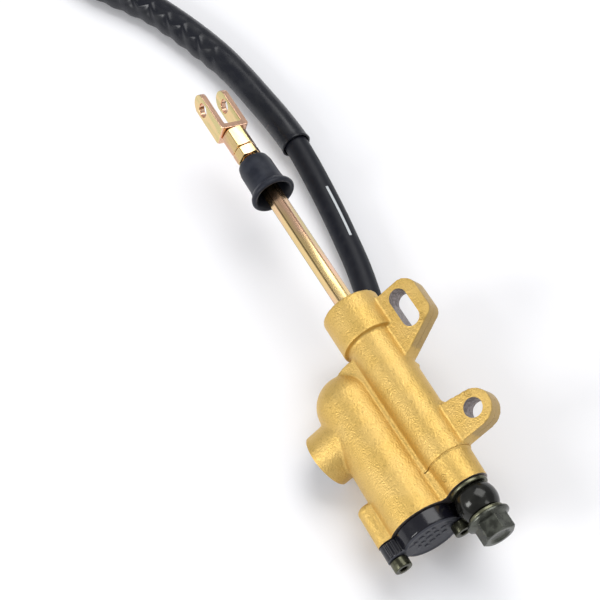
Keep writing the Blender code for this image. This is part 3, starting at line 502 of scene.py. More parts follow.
def evenly(route, spacing):
    """Points at even distances along a smooth curve through the route's points."""
    knots = [Vector(point) for point in route]
    padded = [knots[0] * 2 - knots[1]] + knots + [knots[-1] * 2 - knots[-2]]
    dense = []
    for before, start, end, after in zip(padded, padded[1:], padded[2:], padded[3:]):
        for step in range(40):
            t = step / 40
            dense.append(0.5 * (2 * start + (end - before) * t
                                + (2 * before - 5 * start + 4 * end - after) * t * t
                                + (3 * start - before - 3 * end + after) * t ** 3))
    dense.append(knots[-1])
    reach = [0.0]
    for start, end in zip(dense, dense[1:]):
        reach.append(reach[-1] + (end - start).length)
    count = round(reach[-1] / spacing)
    even, index = [], 0
    for step in range(count + 1):
        target = reach[-1] * step / count
        while index < len(dense) - 2 and reach[index + 1] < target:
            index += 1
        share = (target - reach[index]) / (reach[index + 1] - reach[index])
        even.append(dense[index].lerp(dense[index + 1], share))
    return even


def tube(name, path, radius_at, sides, face, wall=None):
    """A tube along a path. Its UV map's u is metres along it and v its way round, 0.5 at face.

    radius_at(distance, turn) is its radius; turn is 0 at face. With a wall it is open, and its
    inner skin is that much smaller; without one its ends are capped.
    """
    build = bmesh.new()
    layer = build.loops.layers.uv.new("UVMap")
    distances = [0.0]
    for start, end in zip(path, path[1:]):
        distances.append(distances[-1] + (end - start).length)

    def skin(inner):
        rings = []
        for index, centre in enumerate(path):
            ahead = path[min(index + 1, len(path) - 1)] - path[max(index - 1, 0)]
            along = ahead.normalized()
            out = (face - along * face.dot(along)).normalized()
            side = along.cross(out)
            ring = []
            for step in range(sides):
                turn = math.tau * step / sides - math.pi
                radius = radius_at(distances[index], turn) - inner
                spoke = out * math.cos(turn) + side * math.sin(turn)
                ring.append(build.verts.new(centre + spoke * radius))
            rings.append(ring)
        return rings

    def cover(rings, flip):
        for index, (ring, after) in enumerate(zip(rings, rings[1:])):
            for step in range(sides):
                follow = (step + 1) % sides
                corners = [(ring[step], index, step), (ring[follow], index, step + 1),
                           (after[follow], index + 1, step + 1), (after[step], index + 1, step)]
                if flip:
                    corners.reverse()
                made = build.faces.new([corner[0] for corner in corners])
                made.smooth = True
                for loop, (_, row, column) in zip(made.loops, corners):
                    loop[layer].uv = (distances[row], column / sides)

    outer = skin(0.0)
    cover(outer, False)
    if wall is None:
        build.faces.new(list(reversed(outer[0])))
        build.faces.new(outer[-1])
    else:
        inner = skin(wall)
        cover(inner, True)
        for first, second, flip in ((outer[0], inner[0], True), (outer[-1], inner[-1], False)):
            for step in range(sides):
                follow = (step + 1) % sides
                rim = [first[step], first[follow], second[follow], second[step]]
                made = build.faces.new(rim if not flip else list(reversed(rim)))
                made.smooth = True
    mesh = bpy.data.meshes.new(name)
    build.to_mesh(mesh)
    build.free()
    piece = bpy.data.objects.new(name, mesh)
    bpy.context.scene.collection.objects.link(piece)
    return piece


# ------------------------------------------------------------------ shader maths


class Wire:
    """A shader socket that adds up: an expression on wires adds its Math nodes."""

    def __init__(self, look, socket):
        self.look = look
        self.socket = socket

    def maths(self, operation, first, second=0.0):
        return self.look.node("Math", {0: first, 1: second}, operation=operation)

    def __add__(self, other):
        return self.maths("ADD", self, other)

    def __sub__(self, other):
        return self.maths("SUBTRACT", self, other)

    def __rsub__(self, other):
        return self.maths("SUBTRACT", other, self)

    def __mul__(self, other):
        return self.maths("MULTIPLY", self, other)

    def __pow__(self, other):
        return self.maths("POWER", self, other)

    def __abs__(self):
        return self.maths("ABSOLUTE", self)

    __radd__ = __add__
    __rmul__ = __mul__

    def between(self, low, high, start=0.0, end=1.0):
        """Goes from start to end, smoothly, as this goes from low to high."""
        return self.look.node("MapRange", {0: self, 1: low, 2: high, 3: start, 4: end},
                              interpolation_type="SMOOTHSTEP")


class Look:
    """A material under construction: node() adds any node, and set() feeds the shader."""

    def __init__(self, name):
        self.material = bpy.data.materials.new(name)
        self.material.use_nodes = True
        self.nodes = self.material.node_tree.nodes
        self.links = self.material.node_tree.links
        self.shader = self.nodes["Principled BSDF"]

    def feed(self, socket, value):
        if isinstance(value, Wire):
            self.links.new(value.socket, socket)
        elif socket.type == "RGBA":
            socket.default_value = (*value, 1.0)
        else:
            socket.default_value = value

    def node(self, kind, inputs, output=0, **settings):
        made = self.nodes.new("ShaderNode" + kind)
        for key, value in settings.items():
            setattr(made, key, value)
        for key, value in inputs.items():
            self.feed(made.inputs[key], value)
        return Wire(self, made.outputs[output])

    def set(self, **inputs):
        for key, value in inputs.items():
            self.feed(self.shader.inputs[key.replace("_", " ")], value)
        return self.material

    def place(self):
        """The place on the object, in the frame."""
        return self.node("TexCoord", {}, output="Object")

    def axes(self):
        """The place on the cylinder's own axes."""
        back = AXES.inverted()
        return self.node("Mapping", {"Vector": self.place(), "Location": back.translation,
                                     "Rotation": back.to_euler()})

    def split(self, vector):
        parts = self.node("SeparateXYZ", {0: vector}).socket.node
        return [Wire(self, socket) for socket in parts.outputs]

    def facing(self):
        """1 where the piece's surface faces its marked axis and 0 where it runs along it."""
        return self.node("Attribute", {}, output="Fac", attribute_name="facing")

    def noise(self, vector, grain, detail=3.0, roughness=0.5):
        """Clouds from 0 to 1 whose lumps are about grain wide, in metres."""
        return self.node("TexNoise", {"Vector": vector, "Scale": 1.0 / grain, "Detail": detail,
                                      "Roughness": roughness})

    def mix(self, share, first, second):
        return self.node("Mix", {0: share, 6: first, 7: second}, output=2, data_type="RGBA")

    def bump(self, height, depth, strength=1.0, under=None):
        """A normal from a height of 0 to 1 that stands for depth metres."""
        inputs = {"Height": height, "Distance": depth, "Strength": strength}
        if under is not None:
            inputs["Normal"] = under
        return self.node("Bump", inputs)


def cast_gold(settings):
    """Gold paint over a die-cast skin: soft grain, flakes, ejector marks, a parting line, and painted shade on the
    lugs' side walls.
    """
    look = Look("cast_gold")
    where = look.axes()
    x, y, z = look.split(where)
    skin = look.noise(where, settings.grain, detail=2.5, roughness=0.55)
    fine = look.noise(where, settings.grain * 0.4, detail=1.0)
    broad = look.noise(where, 0.011, detail=2.0)
    pits = look.noise(where, 0.0021, detail=1.5)
    lugs = z.between(settings.lug_front - 0.0006, settings.lug_front - 0.0002)
    barrel = z.between(0.004, 0.005)
    marks = 0.0
    for along, across, radius, side in ((0.0604, 0.0212, 0.0011, lugs),
                                        (0.0240, 0.0232, 0.0010, lugs),
                                        (0.0822, -0.0033, 0.0010, barrel)):
        away = ((x - along) ** 2.0 + (y - across) ** 2.0) ** 0.5
        marks = abs(away - radius).between(0.0002, 0.0005, 1.0, 0.0) * side + marks
    middle = (settings.lug_front - settings.lug_back) / 2
    parting = abs(z - middle).between(0.0001, 0.0004, 1.0, 0.0) * y.between(0.012, 0.0125)
    hollow = skin.between(0.30, 0.46, 1.0, 0.0)
    tint = look.mix(hollow * 0.42 + pits.between(0.28, 0.36, 0.35, 0.0), settings.gold,
                    settings.shade)
    bright, side_shade, seam = (0.80, 0.58, 0.24), (0.36, 0.25, 0.11), (0.35, 0.24, 0.10)
    tint = look.mix(broad.between(0.35, 0.65, 0.0, 0.22), tint, bright)
    # Painted shade: the lugs' side walls, which turn away from the light, are mixed towards a darker brown gold.
    wall = (abs(z - middle).between(0.0038, 0.0042, 1.0, 0.0) * y.between(0.0125, 0.0140)
            * look.facing().between(0.35, 0.75, 1.0, 0.0))
    tint = look.mix(wall * 0.65, tint, side_shade)
    tint = look.mix(parting * 0.35, tint, seam)
    normal = look.bump(skin, 0.00032, 0.9)
    normal = look.bump(fine, 0.00012, 0.5, normal)
    normal = look.bump(marks + parting * 0.6, 0.00035, 1.0, normal)
    return look.set(Base_Color=tint, Metallic=0.72, Normal=normal,
                    Roughness=fine.between(0.35, 0.65, 0.33, 0.47) + broad * 0.06)


def shaded_bare_alloy():
    """Die-cast alloy where the holes' walls are left bare, its tones kept dark as painted shade for the walls deep
    in the holes.
    """
    look = Look("shaded_bare_alloy")
    streak = look.noise(look.axes(), 0.0012, detail=3.0)
    # Painted shade: both tones sit far below bare alloy's own brightness, so the cut walls read as shaded.
    tint = look.mix(streak.between(0.35, 0.65), (0.36, 0.32, 0.31), (0.20, 0.17, 0.165))
    return look.set(Base_Color=tint, Metallic=0.75, Roughness=0.5,
                    Normal=look.bump(streak, 0.00008, 0.5))


def cap_black(settings, face):
    """Black paint, glossy on the cap's side and matt on its face."""
    look = Look("cap_black")
    where = look.axes()
    x = look.split(where)[0]
    speck = look.noise(where, 0.0006, detail=2.0)
    matt = x.between(face - 0.0007, face - 0.0004)
    tint = look.mix(matt, settings.black, (0.048, 0.050, 0.062))
    rough = matt * 0.30 + speck.between(0.3, 0.7, 0.13, 0.20)
    return look.set(Base_Color=tint, Roughness=rough,
                    Normal=look.bump(speck, 0.00004, 0.35), Specular_IOR_Level=0.40)


def olive_zinc(name, tint, dark=0.5):
    """Dark olive plating with a patchy depth."""
    look = Look(name)
    where = look.axes()
    cloud = look.noise(where, 0.0030, detail=3.0)
    speck = look.noise(where, 0.0004, detail=1.0)
    deep = tuple(channel * dark for channel in tint)
    pale = look.mix(cloud.between(0.35, 0.68), deep, tint)
    return look.set(Base_Color=pale, Metallic=0.85, Normal=look.bump(speck, 0.00003, 0.4),
                    Roughness=cloud.between(0.3, 0.7, 0.22, 0.36))


def banjo_black(settings):
    """Glossy dark plating."""
    look = Look("banjo_black")
    cloud = look.noise(look.axes(), 0.0040, detail=2.0)
    deep = tuple(channel * 0.55 for channel in settings.black)
    return look.set(Base_Color=look.mix(cloud.between(0.35, 0.65), deep, settings.black),
                    Metallic=0.45, Roughness=cloud.between(0.3, 0.7, 0.13, 0.22),
                    Normal=look.bump(cloud, 0.00010, 0.2))


def yellow_zinc(name, settings, along=0.020, painted_reflection_turn=None, sheared=False):
    """Yellow passivated zinc that drifts to pink and green along the piece.

    Given the turn of a drawn hexagon bar's flats, the bar's corners carry thin dark lines: a painted reflection of
    the dark room in the facets beside them.
    On a sheared strip the faces are yellow-green and the cut edges pink.
    """
    look = Look(name)
    where = look.axes()
    x, y, z = look.split(where)
    drift = look.noise(look.node("CombineXYZ", {0: x * 0.35, 1: y, 2: z}), along * 0.35,
                       detail=2.0)
    second = look.noise(look.node("CombineXYZ", {0: x * 0.2, 1: y * 1.4, 2: z * 1.4}),
                        along * 0.22, detail=2.5)
    scratch = look.noise(look.node("CombineXYZ", {0: x * 0.04, 1: y, 2: z}), 0.00035)
    tint = look.mix(drift.between(0.40, 0.58), settings.zinc, settings.blush)
    tint = look.mix(second.between(0.50, 0.66, 0.0, 0.70), tint, settings.moss)
    tint = look.mix(scratch.between(0.58, 0.70, 0.0, 0.25), tint, (0.32, 0.22, 0.08))
    if sheared:
        face = look.facing().between(0.55, 0.85)
        green = look.mix(second.between(0.40, 0.62), settings.zinc, settings.moss)
        tint = look.mix(face * 0.85, settings.blush, green)
    # Painted reflection: thin dark lines beside the hexagon's corners stand in for the dark room mirrored in its
    # facets.
    if painted_reflection_turn is not None:
        turn = z.maths("ARCTAN2", z, y) - painted_reflection_turn
        around = turn.maths("PINGPONG", turn, math.pi / 6)
        line = around.between(0.425, 0.455) * around.between(0.490, 0.505, 1.0, 0.0)
        tint = look.mix(line * (x + 0.0845).between(0.0, 0.002), tint, (0.055, 0.030, 0.012))
    return look.set(Base_Color=tint, Metallic=1.0,
                    Roughness=second.between(0.3, 0.7, 0.16, 0.30),
                    Normal=look.bump(scratch, 0.00002, 0.5))


def boot_rubber(settings):
    """Satin rubber with a little bloom and mould grain."""
    look = Look("boot_rubber")
    where = look.axes()
    bloom = look.noise(where, 0.0050, detail=3.0)
    grain = look.noise(where, 0.0005, detail=2.0)
    tint = look.mix(bloom.between(0.40, 0.72, 0.0, 0.8), settings.rubber, (0.024, 0.027, 0.038))
    return look.set(Base_Color=tint, Roughness=bloom.between(0.3, 0.7, 0.36, 0.50),
                    Normal=look.bump(grain, 0.00005, 0.45), Specular_IOR_Level=0.30)


def hose_rubber(settings):
    """Matt hose rubber with a printed dash on its upper side."""
    look = Look("hose_rubber")
    place_on = look.node("UVMap", {}, uv_map="UVMap")
    u, v, _ = look.split(place_on)
    wrap = look.noise(look.node("CombineXYZ", {0: u * 8.0, 1: v * 0.034, 2: 0.0}), 0.0009,
                      detail=2.0)
    dust = look.noise(look.node("CombineXYZ", {0: u, 1: v * 0.034, 2: 0.0}), 0.0040, detail=3.0)
    middle = settings.dash_start + settings.dash_length / 2
    dash = (abs(u - middle).between(settings.dash_length / 2 - 0.0003,
                                    settings.dash_length / 2 + 0.0002, 1.0, 0.0)
            * abs(v - 0.5).between(0.014, 0.020, 1.0, 0.0))
    worn = dash * wrap.between(0.25, 0.40, 0.75, 1.0)
    tint = look.mix(dust.between(0.45, 0.75, 0.0, 0.5), settings.black, (0.015, 0.016, 0.021))
    tint = look.mix(worn, tint, settings.ink)
    return look.set(Base_Color=tint, Roughness=dust.between(0.3, 0.7, 0.40, 0.52),
                    Normal=look.bump(wrap, 0.00004, 0.35), Specular_IOR_Level=0.24)


def sleeve_black(settings):
    """Glossy shrunk sleeve."""
    look = Look("sleeve_black")
    place_on = look.node("UVMap", {}, uv_map="UVMap")
    u, v, _ = look.split(place_on)
    pull = look.noise(look.node("CombineXYZ", {0: u * 0.5, 1: v * 0.04, 2: 0.0}), 0.0035,
                      detail=2.0)
    tint = look.mix(pull.between(0.4, 0.7), settings.black, (0.011, 0.012, 0.016))
    return look.set(Base_Color=tint, Roughness=pull.between(0.3, 0.7, 0.24, 0.34),
                    Normal=look.bump(pull, 0.00006, 0.3), Specular_IOR_Level=0.36)


def inner_look(name, tint, metallic, roughness):
    """A finish for the pieces inside the bore and under the cap."""
    look = Look(name)
    cloud = look.noise(look.place(), 0.0015, detail=2.0)
    deep = tuple(channel * 0.7 for channel in tint)
    return look.set(Base_Color=look.mix(cloud.between(0.3, 0.7), deep, tint),
                    Metallic=metallic, Normal=look.bump(cloud, 0.00004, 0.3),
                    Roughness=cloud.between(0.3, 0.7, roughness, roughness + 0.1))


def sight_glass_look():
    """Clear plastic with the pale amber of the fluid behind it."""
    look = Look("sight_glass_clear")
    cloud = look.noise(look.place(), 0.0030, detail=1.0)
    return look.set(Base_Color=look.mix(cloud, (0.90, 0.90, 0.84), (0.80, 0.78, 0.66)),
                    Roughness=0.06, IOR=1.49, Transmission_Weight=0.85)


# ------------------------------------------------------------------ pieces


class CastingOperator(bpy.types.Operator):
    """Model the gold casting with its lugs, reservoir and machined holes"""

    bl_idname = "cylinder.casting"
    bl_label = "Casting"

    def raw_casting(self, s):
        front, back = s.lug_front, -s.lug_back
        uncut = BODY_END + PAST
        inner_lug = 0.0020
        barrel = turned("barrel", [
            (0, 0), (0, s.collar_radius), (s.collar_length, s.collar_radius),
            (s.collar_length, s.barrel_radius), (s.step, s.barrel_end_radius),
            (s.step, s.outlet_radius + 0.0006), (uncut, s.outlet_radius + 0.0002), (uncut, 0)])
        beside = shift(y=s.reservoir_y)
        dome = arc((s.dome, 0), s.reservoir_radius, 180, 90, 16)
        reservoir = turned("reservoir", dome + [(uncut, s.reservoir_end), (uncut, 0)], beside)
        web_start, web_half = 0.0196, 0.0056
        web = plate("web", [(web_start, 0), (web_start, s.reservoir_y), (uncut, s.reservoir_y),
                            (uncut, 0)], -web_half, web_half, ease=0.012)
        sideways = shift(s.sight_x, s.reservoir_y) @ Matrix.Rotation(-QUARTER, 4, "Z")
        reach = s.sight_end + s.reservoir_y
        boss = turned("sight_boss", [(0, 0), (0, s.sight_radius + 0.0003), (reach + 0.0008,
                      s.sight_radius), (reach + 0.0008, 0)], sideways)
        cap = bpy.context.scene.cylinder_cap
        pillars = []
        for name, y, z, length in (("left_pillar", cap.left_y, cap.left_z, 0.0170),
                                   ("right_pillar", cap.right_y, cap.right_z, 0.0160)):
            pillars.append(turned(name, [
                (BODY_END - length, 0), (BODY_END - length, 0.0030),
                (BODY_END - length + 0.0012, 0.0042), (uncut, 0.0043), (uncut, 0)],
                shift(y=y, z=z)))
        slot_lug = plate("slot_lug", [
            (0.0048, inner_lug), (0.0048, 0.0225), *arc((0.0110, 0.0222), 0.0062, 175, 95, 7),
            *arc((0.0206, 0.0240), 0.0044, 85, 25, 6), (0.0357, inner_lug)], back, front)
        hole = (s.hole_x, s.hole_line)
        hole_lug = plate("hole_lug", [*arc(hole, 0.0075, 0, 172, 20), (0.0552, inner_lug),
                                      (s.hole_x + 0.0076, inner_lug)], back, front)
        fillets = []
        for x, y, turn in ((0.0356, 0.0088, 25.0), (0.0553, 0.0092, -10.0)):
            fillets.append(bar("fillet", 0.0013, -0.0026, 0.0026, 24,
                               where=shift(x, y, (front + back) / 2)
                               @ Matrix.Rotation(math.radians(turn), 4, "Z")
                               @ Matrix.Rotation(QUARTER, 4, "Y")))
        return moulded("casting", [barrel, reservoir, web, boss, *pillars, slot_lug, hole_lug,
                                   *fillets], voxel=0.00050, rounds=5)

    def machine(self, body, s, gold, bare):
        """Cut the faces and holes that are machined or cored, their walls left bare in alloy that is darkened with
        painted shade.
        """
        def cut(tool):
            tool.data.materials.append(bare)
            boolean(body, tool)

        cut(block("end_face", (BODY_END, -0.05, -0.03), (BODY_END + 0.01, 0.04, 0.03)))
        face = s.sight_end
        cut(block("sight_face", (s.sight_x - 0.02, -face - 0.01, -0.03),
                  (s.sight_x + 0.02, -face, 0.03)))
        seat = span("stop_washer")[1] + GAP
        groove = (span("circlip")[0] - GAP, span("circlip")[1] + GAP)
        recess = 0.0030
        bore_end = BODY_END - 0.0135
        mouth, collar_bore, groove_bore, bore, port = 0.0100, 0.0078, 0.0087, 0.00635, 0.0051
        cut(turned("bore", [
            (-WELL_PAST, 0), (-WELL_PAST, mouth + 0.0003), (0.0004, mouth), (recess, mouth),
            (recess, collar_bore), (groove[0], collar_bore), (groove[0], groove_bore),
            (groove[1], groove_bore), (groove[1], collar_bore), (seat, collar_bore),
            (seat, bore), (bore_end, bore), (bore_end, port), (BODY_END + WELL_PAST, port),
            (BODY_END + WELL_PAST, 0)]))
        beside = shift(y=s.reservoir_y)
        bottom, ledge = 0.0270, BODY_END - 0.0018
        cavity, diaphragm_seat = 0.0076, 0.0086
        cut(turned("cavity", [
            (bottom, 0), (bottom, cavity - 0.0016), (bottom + 0.0020, cavity), (ledge, cavity),
            (ledge, diaphragm_seat), (BODY_END + WELL_PAST, diaphragm_seat),
            (BODY_END + WELL_PAST, 0)], beside))
        sideways = shift(s.sight_x, s.reservoir_y) @ Matrix.Rotation(-QUARTER, 4, "Z")
        reach = s.sight_end + s.reservoir_y
        inlet, glass_seat, glass_bed = 0.0056, 0.0083, reach - 0.0042
        cut(turned("sight_recess", [
            (0.0038, 0), (0.0038, inlet), (glass_bed, inlet), (glass_bed, glass_seat),
            (reach - 0.0004, glass_seat), (reach + WELL_PAST, 0.0106), (reach + WELL_PAST, 0)],
            sideways))
        behind, before = -s.lug_back - WELL_PAST, s.lug_front + WELL_PAST
        across = s.slot_length / 2 - s.slot_radius
        slot = (arc((s.slot_x + across, s.hole_line), s.slot_radius, -90, 90, 20)
                + arc((s.slot_x - across, s.hole_line), s.slot_radius, 90, 270, 20))
        cut(plate("slot", slot, behind, before))
        ring = arc((s.hole_x, s.hole_line), s.hole_radius, 0, 352.5, 47)
        cut(plate("hole", ring, behind, before))
        cap = bpy.context.scene.cylinder_cap
        for y, z in ((cap.left_y, cap.left_z), (cap.right_y, cap.right_z)):
            cut(bar("tapping", cap.screw_radius + 0.0002, BODY_END - 0.0103,
                    BODY_END + WELL_PAST, 24, where=shift(y=y, z=z)))
        start, end = s.step - 0.00012, s.step + 0.00026
        deep, clear = 0.0091, 0.0110
        line = turned("step_line", [(start, deep), (start, clear), (end, clear), (end, deep)],
                      ring=True)
        line.data.materials.append(gold)
        boolean(body, line)

    def execute(self, context):
        s = context.scene.cylinder_casting
        body = self.raw_casting(s)
        gold = cast_gold(s)
        body.data.materials.append(gold)
        self.machine(body, s, gold, shaded_bare_alloy())
        finished(body, None, "housing", "cylinder_body", facing=LUG_BACK_AXIS)
        return {"FINISHED"}


class CapOperator(bpy.types.Operator):
    """Model the reservoir's cap and its two socket head screws"""

    bl_idname = "cylinder.cap"
    bl_label = "Reservoir cap"

    def cap(self, s, middle):
        start, end = span("reservoir_cap")
        beside = shift(y=middle)
        disc = turned("disc", [
            (start, 0), (start, s.radius), (end - 0.0008, s.radius), (end, s.radius - 0.0009),
            (end, s.radius - 0.0016), (end - 0.0004, s.radius - 0.0019), (end - 0.0004, 0)],
            beside)
        # A plate stood up: its thickness lies along the bore and its outline across it.
        stand = Matrix(((0, 0, 1, 0), (1, 0, 0, 0), (0, 1, 0, 0), (0, 0, 0, 1)))
        pieces = [disc]
        for side, y, z in (("left", s.left_y, s.left_z), ("right", s.right_y, s.right_z)):
            out = math.hypot(y - middle, z)
            turn = Matrix.Rotation(math.atan2(z, y - middle), 4, "X")
            outline = (arc((out, 0), s.ear_radius, -90, 90, 20)
                       + [(s.radius * 0.5, s.ear_radius), (s.radius * 0.5, -s.ear_radius)])
            pieces.append(plate(side + "_ear", outline, start, end - 0.0001,
                                beside @ turn @ stand))
        out = math.hypot(s.left_y - middle, s.left_z)
        turn = Matrix.Rotation(math.atan2(s.left_z, s.left_y - middle), 4, "X")
        for number in range(3):
            pieces.append(bar("rib", 0.00055, start + 0.0004, end - 0.0006, 16,
                              where=beside @ turn @ shift(
                                  y=out - 0.0022 + number * 0.0019, z=-s.ear_radius)))
        return moulded("cap", pieces, voxel=0.00023, rounds=3)

    def markings(self, s, middle, face):
        """Plain raised bars, in three arched rows across the cap's face."""
        bars = []
        between, tall = 0.0012, 0.0020
        rows = ((0.0040, (0.0013, 0.0022, 0.0016, 0.0012)),
                (-0.0004, (0.0020, 0.0013, 0.0026, 0.0016, 0.0018)),
                (-0.0050, (0.0015, 0.0021, 0.0013, 0.0018)))
        for height, widths in rows:
            y = -(sum(widths) + between * (len(widths) - 1)) / 2
            for width in widths:
                arch = 0.0016 - (y + width / 2) ** 2 * 26.0
                piece = block("bar", (face - 0.0004, y, height + arch),
                              (face + 0.00035, y + width, height + arch + tall),
                              shift(y=middle))
                bars.append(modify(piece, "BEVEL", width=0.00016, segments=2))
                y += width + between
        return bars

    def screw(self, s):
        """A socket head screw, on the bore's axis."""
        start, end = span("cap_screw_left")
        seat = end - s.screw_head_height
        pitch, mouth = 0.0007, end - 0.0003
        piece = turned("cap_screw_left_screw", [
            (start, 0), *thread(start, seat - 0.0002, s.screw_radius, pitch),
            (seat, s.screw_radius * 0.8), (seat, s.screw_head), (end, s.screw_head), (end, 0)],
            ease=0.00035)
        boolean(piece, turned("socket_mouth", [
            (mouth, 0), (mouth, s.socket), (end + PAST, s.socket + 0.0012), (end + PAST, 0)]))
        return boolean(piece, bar("socket", s.socket, end - 0.0022, end + PAST, 6))

    def execute(self, context):
        s = context.scene.cylinder_cap
        middle = context.scene.cylinder_casting.reservoir_y
        face = span("reservoir_cap")[1] - 0.0004
        cap = self.cap(s, middle)
        holes = ((s.left_y, s.left_z), (s.right_y, s.right_z))
        for y, z in holes:
            boolean(cap, bar("clearance", s.screw_radius + 0.0004, BODY_END - 0.002, face + 0.003,
                             32, where=shift(y=y, z=z)))
        cap = join("cap", [cap, *self.markings(s, middle, face)])
        finished(cap, cap_black(s, face + 0.0004), "housing", "reservoir_cap", degrees=50.0)
        olive = olive_zinc("screw_olive", s.olive)
        left = self.screw(s)
        right = copied(left, "cap_screw_right_screw")
        for piece, node, (y, z) in zip((left, right), ("cap_screw_left", "cap_screw_right"),
                                       holes):
            finished(put(piece, shift(y=y, z=z)), olive, "housing", node)
        return {"FINISHED"}


class OutletOperator(bpy.types.Operator):
    """Model the banjo, its bolt and its two crush washers"""

    bl_idname = "cylinder.outlet"
    bl_label = "Outlet"

    def banjo(self, s):
        low, high = span("crush_washer_inner")[1] + GAP, span("crush_washer_outer")[0] - GAP
        half = (high - low) / 2
        middle = (high + low) / 2
        edge = math.degrees(math.asin(half / s.ball_radius))
        ball = turned("ball", [(half, 0), *arc((0, 0), s.ball_radius, 90 - edge, 90 + edge, 24),
                               (-half, 0)], shift(middle))
        foot = (AXES.translation.z - centre_of("hose_ferrule").z) / math.cos(s.neck_lean)
        deselect()
        bpy.ops.mesh.primitive_circle_add(vertices=32, radius=s.neck_radius, fill_type="NGON")
        neck = bpy.context.object
        bpy.ops.object.mode_set(mode="EDIT")
        bpy.ops.mesh.extrude_region_move(
            TRANSFORM_OT_translate={"value": (0, 0, -(foot - s.neck_bend))})
        bpy.ops.mesh.spin(steps=12, angle=QUARTER, center=(-s.neck_bend, 0,
                          -(foot - s.neck_bend)), axis=(0, 1, 0))
        bpy.ops.mesh.extrude_region_move(TRANSFORM_OT_translate={"value": (-0.0003, 0, 0)})
        close_up()
        put(neck, shift(middle) @ Matrix.Rotation(s.neck_lean - ROLL, 4, "X"))
        piece = moulded("banjo", [ball, neck], voxel=0.00030, rounds=4)
        return boolean(piece, bar("eye", s.washer_hole, low - PAST, high + PAST, 64))

    def bolt(self, s):
        start, end = span("banjo_bolt")
        seat = span("crush_washer_outer")[1] + GAP
        head = seat + s.flange_thickness
        flange = turned("flange", [
            (seat - 0.0004, 0), (seat - 0.0004, 0.0060), (seat, 0.0062), (seat, s.flange),
            (seat + 0.0009, s.flange), (head + 0.0004, s.flats * 0.52), (head + 0.0004, 0)])
        hexagon = chamfered_hex("hexagon", s.flats, head - 0.0006, end, s.head_turn)
        piece = moulded("bolt", [flange, hexagon], voxel=0.00016, rounds=1)
        dish, passage, pitch = 0.0047, 0.0018, 0.0010
        boolean(piece, turned("dish", [
            (end - 0.0011, 0), (end - 0.0009, 0.0030), (end + 0.0003, dish), (end + PAST, dish),
            (end + PAST, 0)]))
        shank = turned("shank", [
            (seat + 0.0002, passage), (seat + 0.0002, s.shank),
            *reversed(thread(start + 0.0006, seat - 0.0125, s.shank, pitch)),
            (start, s.shank - 0.0008), (start, passage)], ring=True)
        return join("bolt", [piece, shank])

    def washer(self, node, s):
        """A crush washer as wide and as thick as its node: the two differ in size."""
        start, end = span(node)
        low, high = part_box(node)
        rim = (high.y - low.y) / 2
        return turned(node + "_ring", [(start, s.washer_hole), (start, rim), (end, rim),
                                       (end, s.washer_hole)], ease=0.00042, ring=True)

    def execute(self, context):
        s = context.scene.cylinder_outlet
        olive = context.scene.cylinder_cap.olive
        pale = olive_zinc("washer_olive", [channel * 1.5 for channel in olive])
        dark = olive_zinc("bolt_olive", (0.115, 0.120, 0.100))
        for node in ("crush_washer_inner", "crush_washer_outer"):
            finished(self.washer(node, s), pale, "housing", node)
        finished(self.banjo(s), banjo_black(s), "housing", "banjo_fitting")
        finished(self.bolt(s), dark, "housing", "banjo_bolt", degrees=28.0)
        return {"FINISHED"}


class RodOperator(bpy.types.Operator):
    """Model the hexagon pushrod and its lock nut"""

    bl_idname = "cylinder.rod"
    bl_label = "Pushrod"

    def rod(self, s):
        start, end = span("pushrod")
        hex_end = span("lock_nut")[1] + GAP
        flange = end - 0.0068
        piece = bar("rod", s.flats / math.sqrt(3), hex_end, flange, 6, s.turn)
        modify(piece, "BEVEL", width=0.00035, segments=3, limit_method="ANGLE",
               angle_limit=math.radians(40))
        threaded = turned("rod_thread", [(start, 0), *thread(start, hex_end + 0.0002, s.thread,
                                         s.pitch), (hex_end + 0.0004, 0)])
        rim, neck, ball_radius = 0.0055, 0.0038, 0.0040
        ball = turned("rod_ball", [
            (flange - 0.0002, 0), (flange - 0.0002, rim - 0.0002), (flange + 0.0002, rim),
            (flange + 0.0014, rim), (flange + 0.0014, neck),
            *arc((end - ball_radius, 0), ball_radius, 105, 0, 16)])
        return join("rod", [piece, threaded, ball])

    def execute(self, context):
        s = context.scene.cylinder_rod
        zinc = yellow_zinc("rod_zinc", s, 0.045, painted_reflection_turn=s.turn)
        finished(self.rod(s), zinc, "pushrod_set", "pushrod")
        start, end = span("lock_nut")
        nut = moulded("nut", [chamfered_hex("lock", s.nut_flats, start, end, s.nut_turn)],
                      voxel=0.00016, rounds=1)
        boolean(nut, bar("nut_thread", s.thread + THREAD_ROOM, start - PAST, end + PAST, 48))
        finished(nut, yellow_zinc("nut_zinc", s), "pushrod_set", "lock_nut")
        return {"FINISHED"}


